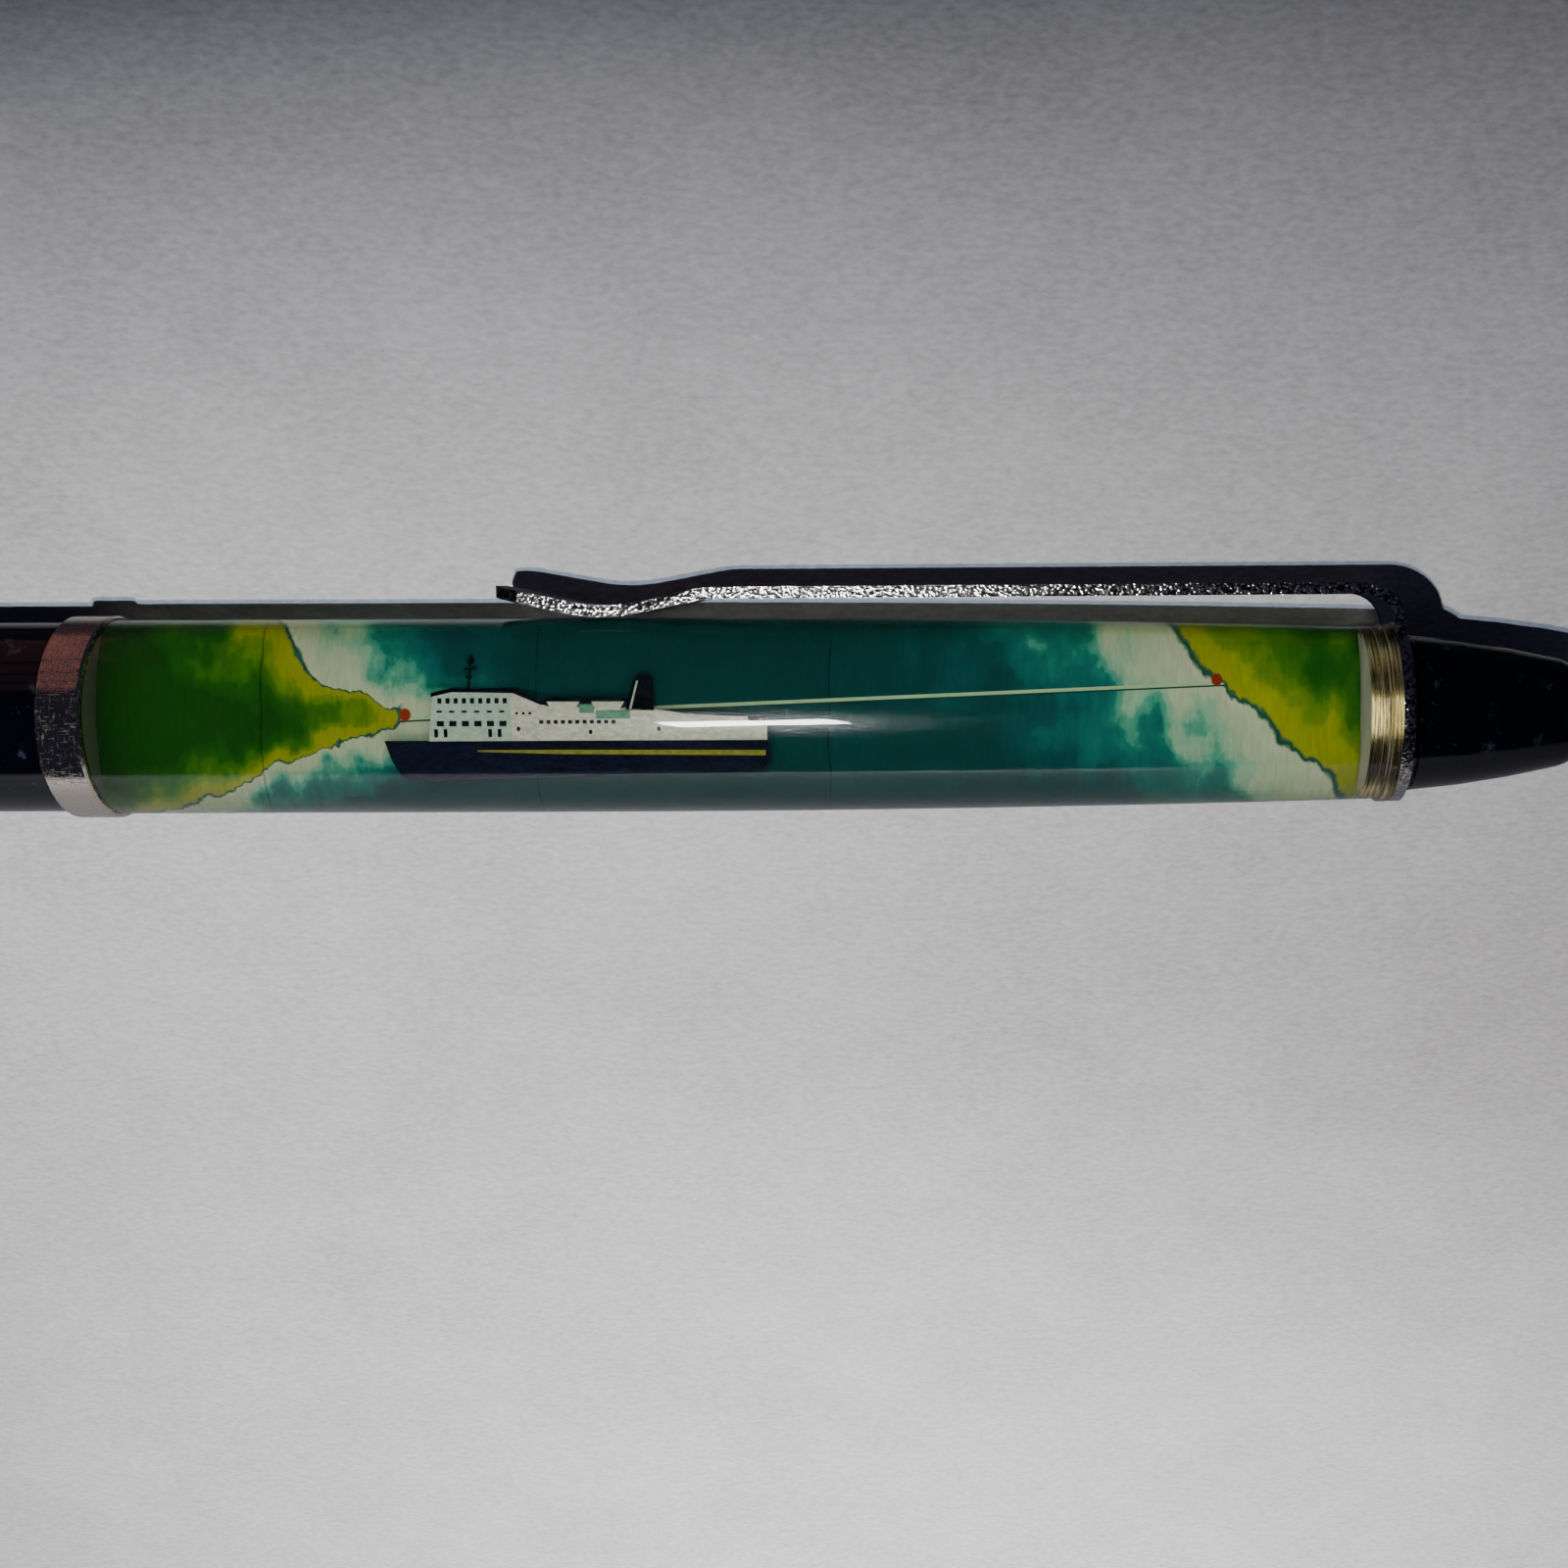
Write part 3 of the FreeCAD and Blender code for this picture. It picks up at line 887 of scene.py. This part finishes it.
def turned_brass():
    """Brass turned on a lathe, bright but yellowed by the oil, with fine tool rings."""
    material = new_material("turned_brass", Metallic=1.0, Roughness=0.22)
    rings = add_node(
        material,
        "ShaderNodeTexNoise",
        {"Vector": pen_coordinates(material, (16, 0.4, 0.4)), "Scale": 1.0, "Detail": 4.0},
    )
    colours = add_node(
        material,
        "ShaderNodeValToRGB",
        {"Fac": rings.outputs["Fac"]},
        stops=[(0.4, "#7A6A3A"), (0.5, "#C9B77A"), (0.62, "#F0E6BC")],
    )
    # The sawn end face towards the oil is left grey and matt.
    facing = add_node(material, "ShaderNodeNewGeometry")
    towards_oil = add_node(
        material,
        "ShaderNodeVectorMath",
        {0: facing.outputs["True Normal"], 1: -ALONG},
        operation="DOT_PRODUCT",
    )
    end_face = add_node(
        material,
        "ShaderNodeMapRange",
        {"Value": towards_oil.outputs["Value"], "From Min": 0.9, "From Max": 0.95},
    )
    faced = add_node(
        material,
        "ShaderNodeMix",
        {
            "Factor": end_face.outputs["Result"],
            "A": colours.outputs["Color"],
            "B": linear("#E4E1D8"),
        },
        data_type="RGBA",
    )
    feed(material, "Base Color", faced.outputs["Result"])
    for socket, on_turned, on_end in (("Metallic", 1.0, 0.0), ("Roughness", 0.2, 0.6)):
        value = add_node(
            material,
            "ShaderNodeMapRange",
            {"Value": end_face.outputs["Result"], "To Min": on_turned, "To Max": on_end},
        )
        feed(material, socket, value.outputs["Result"])
    bump = add_node(
        material,
        "ShaderNodeBump",
        {"Height": rings.outputs["Fac"], "Strength": 0.8, "Distance": 0.04 * MM},
    )
    feed(material, "Normal", bump.outputs["Normal"])
    return material


def moulded_plastic(name, colour, dust, roughness):
    """Injection-moulded plastic: near-flat gloss with a faint swell and dusty smudges."""
    material = new_material(name, Roughness=roughness, IOR=1.5)
    coordinates = pen_coordinates(material)
    swell = add_node(
        material, "ShaderNodeTexNoise", {"Vector": coordinates, "Scale": 0.35, "Detail": 2.0}
    )
    smudges = add_node(
        material,
        "ShaderNodeTexNoise",
        {"Vector": coordinates, "Scale": 0.9, "Detail": 7.0, "Roughness": 0.65},
    )
    colours = add_node(
        material,
        "ShaderNodeValToRGB",
        {"Fac": smudges.outputs["Fac"]},
        stops=[(0.6, colour), (0.72, dust)],
    )
    feed(material, "Base Color", colours.outputs["Color"])
    rough = add_node(
        material,
        "ShaderNodeMapRange",
        {
            "Value": smudges.outputs["Fac"],
            "From Min": 0.55,
            "From Max": 0.8,
            "To Min": roughness,
            "To Max": roughness + 0.25,
        },
    )
    feed(material, "Roughness", rough.outputs["Result"])
    bump = add_node(
        material,
        "ShaderNodeBump",
        {"Height": swell.outputs["Fac"], "Strength": 0.15, "Distance": 0.1 * MM},
    )
    feed(material, "Normal", bump.outputs["Normal"])
    return material


def ground_steel():
    """Tungsten-grey ball, ground and lapped: a soft mirror."""
    material = new_material("ground_steel", Metallic=1.0, Roughness=0.18)
    grain = add_node(
        material,
        "ShaderNodeTexNoise",
        {"Vector": pen_coordinates(material), "Scale": 9.0, "Detail": 3.0},
    )
    colours = add_node(
        material,
        "ShaderNodeValToRGB",
        {"Fac": grain.outputs["Fac"]},
        stops=[(0.4, "#8E8F92"), (0.6, "#A9AAAD")],
    )
    feed(material, "Base Color", colours.outputs["Color"])
    return material


def laid_paper(name, dark, middle, light):
    """Plain pale paper: matt, with soft fibres half a millimetre long and a faint mottle."""
    material = new_material(name, Roughness=0.9, Specular_IOR_Level=0.0)
    at = add_node(material, "ShaderNodeTexCoord")
    noises = []
    for grain, scale in (((1.0, 1.9, 1.0), 1.8), ((1.0, 1.0, 1.0), 0.09)):
        in_mm = add_node(
            material,
            "ShaderNodeMapping",
            {"Vector": at.outputs["Object"], "Scale": [share / MM for share in grain]},
        )
        noise = add_node(
            material,
            "ShaderNodeTexNoise",
            {"Vector": in_mm.outputs["Vector"], "Scale": scale, "Detail": 5.0, "Roughness": 0.6},
        )
        noises.append(noise.outputs["Fac"])
    fibres, mottle = noises
    shade = add_node(
        material, "ShaderNodeMath", {0: mottle, 1: 0.5, 2: fibres}, operation="MULTIPLY_ADD"
    )
    colours = add_node(
        material,
        "ShaderNodeValToRGB",
        {"Fac": shade.outputs[0]},
        stops=[(0.5, dark), (0.75, middle), (0.98, light)],
    )
    feed(material, "Base Color", colours.outputs["Color"])
    bump = add_node(
        material,
        "ShaderNodeBump",
        {"Height": fibres, "Strength": 0.45, "Distance": 0.1 * MM},
    )
    feed(material, "Normal", bump.outputs["Normal"])
    return material


# ---------------------------------------------------------------- clear tube

TAPER_STATIONS = 12
# Each rib's two heights: the middle one guides the strip, and the outer ones hold a film.
RIBS = ((-0.45, 0.45), (0.71, 1.11), (-1.11, -0.71))
RIB_ROOT = 0.3


class PEN_OT_float_tube(bpy.types.Operator):
    """Clear tube with its ribs, in place of the frame's tube"""

    bl_idname = "pen.float_tube"
    bl_label = "Float Tube"

    def execute(self, context):
        sizes = context.scene.pen_tube
        radius, neck, bore = sizes.radius / MM, sizes.neck / MM, sizes.bore / MM
        straight, drop, edge = sizes.straight / MM, sizes.drop / MM, sizes.edge / MM
        bead, rib_foot = sizes.bead / MM, sizes.rib_foot / MM
        bead_start = TUBE_END - sizes.bead_width / MM
        end_radius = radius - drop
        profile = [
            (NECK_END, bore), (NECK_END, neck), (0, neck), (0, radius - edge), (edge, radius),
        ]
        # The slimming is one long arc that leaves the straight stretch without a corner.
        run = bead_start - straight
        bow = (run**2 + drop**2) / (2 * drop)
        for station in range(TAPER_STATIONS + 1):
            along = run * station / TAPER_STATIONS
            sink = bow - math.sqrt(bow**2 - along**2)
            profile.append((straight + along, radius - sink))
        profile += [
            (bead_start + bead, end_radius + bead),
            (TUBE_END - bead, end_radius + bead),
            (TUBE_END, end_radius),
            (TUBE_END, bore),
        ]
        tube = add_turned("clear_tube", profile, sizes.segments)
        ribs = []
        for side in (-1, 1):
            for low, high in RIBS:
                near, far = sorted((side * rib_foot, side * (bore + RIB_ROOT)))
                ribs.append(add_block((CHAMBER_START, near, low), (CHAMBER_END, far, high)))
        rib_set = join(ribs, "rib_set")
        union = tube.modifiers.new("ribs", "BOOLEAN")
        union.operation = "UNION"
        union.object = rib_set
        union.solver = "EXACT"
        select_only(tube)
        bpy.ops.object.modifier_apply(modifier=union.name)
        bpy.data.objects.remove(rib_set)
        tube.data.materials.clear()
        tube.data.materials.append(polished_acrylic())
        tube.data.materials.append(acrylic_against_oil())
        for face in tube.data.polygons:
            off_axis = math.hypot(face.center.y, face.center.z)
            face.material_index = int(off_axis < bore + 0.01)
        select_only(tube)
        bpy.ops.object.shade_smooth_by_angle(angle=math.radians(20))
        place(tube, "float_section")
        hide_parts("float_tube")
        return {"FINISHED"}


# ---------------------------------------------------------------- ferry

# Outlines in millimetres, along the ship from its bow and up from the pen's axis.
HULL = [
    (0, -0.9), (0.35, -1.65), (0.75, -2.2), (1.1, -2.41), (19.9, -2.06), (20.3, -1.75),
    (20.25, -0.56), (19.9, -0.5), (19.9, -0.9),
]
HOUSE = [
    (2.35, -0.92), (2.6, 0.72), (3.6, 0.9), (6.8, 0.86), (8.0, 0.5), (8.6, 0.34),
    (14.3, 0.22), (16.0, 0.05), (20.2, -0.1), (20.2, -0.92),
]
FRONT = [(2.36, -0.9), (2.61, 0.7), (3.6, 0.87), (6.7, 0.84), (6.75, -0.9)]
ROOF = [
    (2.5, 0.7), (3.6, 0.88), (6.8, 0.84), (8.3, 0.4), (9.2, 0.46), (13.0, 0.5), (13.0, 0.64),
    (11.4, 0.68), (10.2, 0.6), (9.0, 0.66), (8.2, 0.56), (6.9, 1.0), (3.6, 1.02), (2.5, 0.84),
]
FUNNEL = [
    (12.75, 0.2), (13.15, 1.3), (13.3, 1.46), (13.6, 1.53), (13.95, 1.5), (14.15, 1.36),
    (14.25, 0.18),
]
FUNNEL_TRIM = [(12.95, 0.25), (13.33, 1.3), (13.42, 1.3), (13.07, 0.25)]
MAST = [(4.42, 0.85), (4.52, 0.85), (4.6, 2.3), (4.54, 2.3)]
YARDS = [
    rectangle(4.2, 1.74, 4.9, 1.8),
    rectangle(4.42, 1.96, 4.74, 2.14),
    rectangle(4.32, 1.4, 4.66, 1.45),
]
BOATS = [
    [(start, 0.52), (start + 0.25, 0.26), (start + 1.5, 0.26), (start + 1.75, 0.52)]
    for start in (8.6, 10.95)
]
TARPAULINS = [rectangle(10.3, 0.1, 11.1, 0.42), rectangle(11.2, -0.12, 13.0, 0.2)]
STRIPE = [
    (4.9, -1.32), (9.5, -1.42), (20.1, -1.5), (20.1, -1.3), (9.5, -1.26), (4.9, -1.26),
]
DOORS = [oval(9.1, -2.0, 0.2, 0.16), oval(12.9, -1.98, 0.17, 0.14)]

# Rows of windows: the first one's left side, how many, their pitch, bottom, width and top.
WINDOW_ROWS = (
    (2.85, 9, 0.43, 0.46, 0.22, 0.66),
    (2.8, 6, 0.66, 0.12, 0.28, 0.2),
    (2.8, 6, 0.66, -0.38, 0.38, -0.18),
    (2.65, 2, 0.5, -0.78, 0.2, -0.48),
    (5.5, 2, 0.5, -0.78, 0.2, -0.48),
)
PORT_ROWS = (
    (8.2, 11, 0.38, -0.3, 0.22, -0.16),
    (6.95, 3, 0.35, 0.04, 0.14, 0.14),
    (19.2, 1, 0.0, -0.22, 1.0, -0.04),
)
ROUND_PORTS = [oval(x, y, 0.1, 0.09) for x, y in ((7.1, -0.48), (10.9, -0.6), (14.5, -0.5))]

# What the strip's rubbing has worn each ink to.
WORN_INKS = {
    "navy": "#141F36",
    "white": "#C4CBB8",
    "mint": "#A5C6B4",
    "sea_green": "#558F7A",
    "black": "#101C22",
    "yellow": "#84842E",
}


def window_rows(rows):
    """Outlines of rows of equal windows."""
    return [
        rectangle(first + pitch * column, bottom, first + pitch * column + width, top)
        for first, count, pitch, bottom, width, top in rows
        for column in range(count)
    ]


class PEN_OT_ferry(bpy.types.Operator):
    """Ferry cut from printed film, in place of the frame's plain outline"""

    bl_idname = "pen.ferry"
    bl_label = "Ferry"

    def execute(self, context):
        sizes = context.scene.pen_ferry
        back, face, ink = sizes.film_back / MM, sizes.film_face / MM, sizes.ink / MM
        inks = {}
        for name, worn in WORN_INKS.items():
            inks[name] = printed_ink("ink_" + name, getattr(context.scene.pen_inks, name), worn)
        # Each layer starts at the film's back or face, and ends this many inks above the face.
        layers = [
            ([HULL], back, 0, "navy"),
            ([HOUSE], back, 1, "white"),
            ([FUNNEL], back, 1, "black"),
            ([MAST], back, 0, "black"),
            (YARDS, back, 0, "black"),
            ([FRONT], face, 2, "mint"),
            ([ROOF], back, 3, "black"),
            (BOATS, face, 4, "white"),
            (TARPAULINS, face, 3, "sea_green"),
            ([STRIPE], face, 1, "yellow"),
            (window_rows(WINDOW_ROWS), face, 3, "black"),
            (window_rows(PORT_ROWS) + ROUND_PORTS, face, 2, "black"),
            (DOORS, face, 1, "black"),
            ([FUNNEL_TRIM], face, 2, "mint"),
        ]
        cuts = [
            add_cut(outlines, low, face + count * ink, inks[name])
            for outlines, low, count, name in layers
        ]
        ferry = join(cuts, "ferry_print")
        ferry.matrix_world = Matrix.Translation((sizes.bow / MM, 0, 0))
        place(ferry, "float")
        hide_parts("ferry_cutout")
        return {"FINISHED"}


# ---------------------------------------------------------------- finishes

# The clip's stamped edges are rounded live, because a frame's mesh is never changed.
CLIP_WELD = 0.001
CLIP_ROUNDING = 0.2


class PEN_OT_finishes(bpy.types.Operator):
    """Gives each piece of the frame that stays its real material"""

    bl_idname = "pen.finishes"
    bl_label = "Finishes"

    def execute(self, context):
        colours = context.scene.pen_finishes
        navy = moulded_plastic("navy_gloss_plastic", colours.barrel, colours.dust, 0.08)
        plated = chrome_plate(colours.chrome)
        clear = film_in_oil()
        brass = turned_brass()
        acetal = moulded_plastic("natural_acetal", "#D9D7CE", "#BDBAB0", 0.35)
        finishes = {
            "picture_film": printed_picture(colours),
            "front_film": clear,
            "float_strip": clear,
            "tube_stopper": moulded_plastic("grey_stopper_plastic", "#6E7464", "#8A8F80", 0.3),
            "end_plug": brass,
            "centre_band": plated,
            "pocket_clip": stamped_chrome(),
            "top_cap": navy,
            "cam_sleeve": acetal,
            "refill_carrier": acetal,
            "refill_tube": moulded_plastic("inked_refill_tube", colours.refill, "#31408C", 0.3),
            "refill_point": brass,
            "refill_ball": ground_steel(),
            "lower_barrel": navy,
            "nose_cone": plated,
        }
        for name, material in finishes.items():
            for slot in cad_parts[name].material_slots:
                slot.material = material
        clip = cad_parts["pocket_clip"]
        clip.modifiers.new("welding", "WELD").merge_threshold = CLIP_WELD * MM
        rounding = clip.modifiers.new("rounding", "BEVEL")
        rounding.width = CLIP_ROUNDING * MM
        rounding.segments = 3
        rounding.limit_method = "ANGLE"
        rounding.angle_limit = math.radians(60)
        return {"FINISHED"}


# ---------------------------------------------------------------- stage

FLOOR_SIZE = 3.0
HALF_SHEET = 0.3

# Places from the lens in metres: to the right, up, and back from what it looks at.
ON_PEN = (-0.008, 0.004, -0.105)
LOW_FLOOR = (-0.027, -0.1756, -0.1182)

# Each light's place, aim, size, watts, colour, the only rays that see it, and spread.  The
# flash has a cool and a warm half, which fringe the shadows' far edges blue.
LIGHTS = {
    "cool": ((-0.042, -0.028, 0), LOW_FLOOR, (0.003, 0.003), 0.25, "#D0E4FF", "diffuse", 180),
    "warm": ((-0.042, -0.035, 0), LOW_FLOOR, (0.003, 0.003), 0.25, "#FFE9D0", "diffuse", 180),
    "foreground": (
        (0.002, -0.138, 0.02), (0.002, -0.138, -0.08), (0.02, 0.02), 0.15, "#FFFFFF", "diffuse", 80
    ),
    "through_tube": (
        (-0.01, -0.01, 0.02), ON_PEN, (0.2, 0.12), 0.22, "#FFFFFF", "transmission", 180
    ),
    "flash": ((-0.022, -0.018, 0), ON_PEN, (0.02, 0.01), 0.055, "#FFFFFF", "glossy", 180),
}

# Slats of warm room light: the two angles between which the pen mirrors each, in degrees,
# and its share of the room's light.
SLATS = ((29, 37, 1), (39.5, 48.5, 1), (51, 63.5, 1), (66, 103, 1), (104, 125, 0.15))
SLAT_REACH = 0.15
SLAT_LENGTH = 0.096
SLAT_SIDE = -0.16
SLAT_COLOUR = "#A46A62"


def add_sheet(name, size, material, matrix):
    """A flat sheet of the stage, with its place in its mesh."""
    deselect_all()
    bpy.ops.mesh.primitive_plane_add(size=size)
    sheet = bpy.context.object
    sheet.name = name
    sheet.matrix_world = matrix
    apply_place()
    sheet.data.materials.append(material)
    sheet.visible_shadow = False
    return sheet


def add_light(name, lens_at, axes, light):
    """An area light placed and aimed from the lens, which one kind of ray sees."""
    place_from, aim_from, size, watts, colour, seen_by, spread = light
    data = bpy.data.lights.new(name, "AREA")
    data.shape = "RECTANGLE"
    data.size, data.size_y = size
    data.energy = watts
    data.color = linear(colour)[:3]
    data.spread = math.radians(spread)
    lamp = bpy.data.objects.new(name, data)
    at, aim = (
        lens_at + sum((axis * part for axis, part in zip(axes, parts)), Vector())
        for parts in (place_from, aim_from)
    )
    lamp.location = at
    lamp.rotation_euler = (aim - at).to_track_quat("-Z", "Y").to_euler()
    lamp.visible_diffuse = seen_by == "diffuse"
    lamp.visible_glossy = seen_by == "glossy"
    lamp.visible_transmission = seen_by == "transmission"
    bpy.context.scene.collection.objects.link(lamp)


def add_slats(lens_at, axes, radiance):
    """The room's slats, on an arc about the pen, left of the frame."""
    for low, high, share in SLATS:
        middle = math.radians((low + high) / 2)
        width = 2 * SLAT_REACH * math.tan(math.radians(high - low) / 2)
        up = ON_PEN[1] + SLAT_REACH * math.sin(middle)
        back = ON_PEN[2] + SLAT_REACH * math.cos(middle)
        watts = radiance * share * math.pi * SLAT_LENGTH * width
        aim = (SLAT_SIDE, ON_PEN[1], ON_PEN[2])
        slat = ((SLAT_SIDE, up, back), aim, (SLAT_LENGTH, width), watts, SLAT_COLOUR, "glossy", 180)
        add_light("room_slat", lens_at, axes, slat)


def add_mirrored_sheets(view, sight, picture_up):
    """The sheet that the pen's gloss mirrors in the photograph.

    It leans towards the viewer below the pen, and falls away above it.  Only mirrored
    light sees its two halves.
    """
    # Painted shade and light: the lower half's paper is a darker copy of the floor's, and the upper
    # half's is a lighter copy.
    shaded = laid_paper("shaded_paper", "#76767A", "#828286", "#8E8E92")
    lit = laid_paper("lit_paper", "#EEEBE4", "#F4F2EC", "#FAF9F5")
    for side, lean, paper in ((-1, view.sheet_lean, shaded), (1, view.sheet_fall, lit)):
        normal = sight * math.cos(lean) + picture_up * math.sin(lean)
        downhill = normal.cross(ALONG)
        middle = ALONG * 0.06 + normal * FLOOR_Z + downhill * (side * HALF_SHEET)
        facing = Matrix((ALONG, -downhill, normal)).transposed().to_4x4()
        sheet = add_sheet(
            "mirrored_sheet", 2 * HALF_SHEET, paper, Matrix.Translation(middle) @ facing
        )
        sheet.visible_camera = False
        sheet.visible_diffuse = False
        sheet.visible_transmission = False


def add_camera(view, place_matrix):
    """The photograph's camera."""
    data = bpy.data.cameras.new("camera")
    data.lens = view.lens
    data.sensor_width = 36
    data.shift_x = view.shift
    data.clip_start = 0.005
    data.clip_end = 10
    camera = bpy.data.objects.new("camera", data)
    camera.matrix_world = place_matrix
    bpy.context.scene.collection.objects.link(camera)
    bpy.context.scene.camera = camera


class PEN_OT_stage(bpy.types.Operator):
    """Paper floor, lights and the photograph's camera"""

    bl_idname = "pen.stage"
    bl_label = "Stage"

    def execute(self, context):
        view = context.scene.pen_view
        paper = laid_paper("laid_paper", "#C6C4C2", context.scene.pen_finishes.paper, "#EBE9E7")
        on_floor = Matrix.Translation((0.05, 0, FLOOR_Z))
        floor = add_sheet("paper_floor", FLOOR_SIZE, paper, on_floor)
        floor.visible_glossy = False

        picture_up = TO_CLIP * math.cos(view.lean) - OUT_OF_PICTURE * math.sin(view.lean)
        sight = TO_CLIP * math.sin(view.lean) + OUT_OF_PICTURE * math.cos(view.lean)
        lens_at = (
            ALONG * (BAND_EDGE + view.aim) - picture_up * view.below + sight * view.distance
        )
        right = ALONG * math.cos(view.twist) - picture_up * math.sin(view.twist)
        up = ALONG * math.sin(view.twist) + picture_up * math.cos(view.twist)
        turn = Matrix((right, up, sight)).transposed().to_4x4()
        add_camera(view, Matrix.Translation(lens_at) @ turn)
        add_mirrored_sheets(view, sight, picture_up)

        axes = (right, up, sight)
        for name, light in LIGHTS.items():
            add_light(name, lens_at, axes, light)
        add_slats(lens_at, axes, view.room_light)
        world = bpy.data.worlds.new("room")
        world.use_nodes = True
        sky = world.node_tree.nodes["Background"]
        sky.inputs["Color"].default_value = linear("#2A2C3C")
        sky.inputs["Strength"].default_value = 0.6
        context.scene.world = world
        return {"FINISHED"}


# ---------------------------------------------------------------- add-on

OPERATORS = (PEN_OT_float_tube, PEN_OT_ferry, PEN_OT_finishes, PEN_OT_stage)


class PEN_PT_panel(bpy.types.Panel):
    """Lists the pen's pieces in the sidebar, and their sizes and colours"""

    bl_idname = "PEN_PT_panel"
    bl_label = "Floating Pen"
    bl_space_type = "VIEW_3D"
    bl_region_type = "UI"
    bl_category = "Floating Pen"

    def draw(self, context):
        for operator in OPERATORS:
            self.layout.operator(operator.bl_idname)
        for name, group in GROUPS.items():
            box = self.layout.box()
            for setting in group.__annotations__:
                box.prop(getattr(context.scene, name), setting)


def register():
    for group in GROUPS.values():
        bpy.utils.register_class(group)
    for name, group in GROUPS.items():
        setattr(bpy.types.Scene, name, PointerProperty(type=group))
    for cls in OPERATORS + (PEN_PT_panel,):
        bpy.utils.register_class(cls)


def unregister():
    for cls in reversed(OPERATORS + (PEN_PT_panel,)):
        bpy.utils.unregister_class(cls)
    for name, group in GROUPS.items():
        delattr(bpy.types.Scene, name)
        bpy.utils.unregister_class(group)


def main():
    register()
    bpy.ops.pen.float_tube()
    bpy.ops.pen.ferry()
    bpy.ops.pen.finishes()
    bpy.ops.pen.stage()


if __name__ == "__main__":
    main()
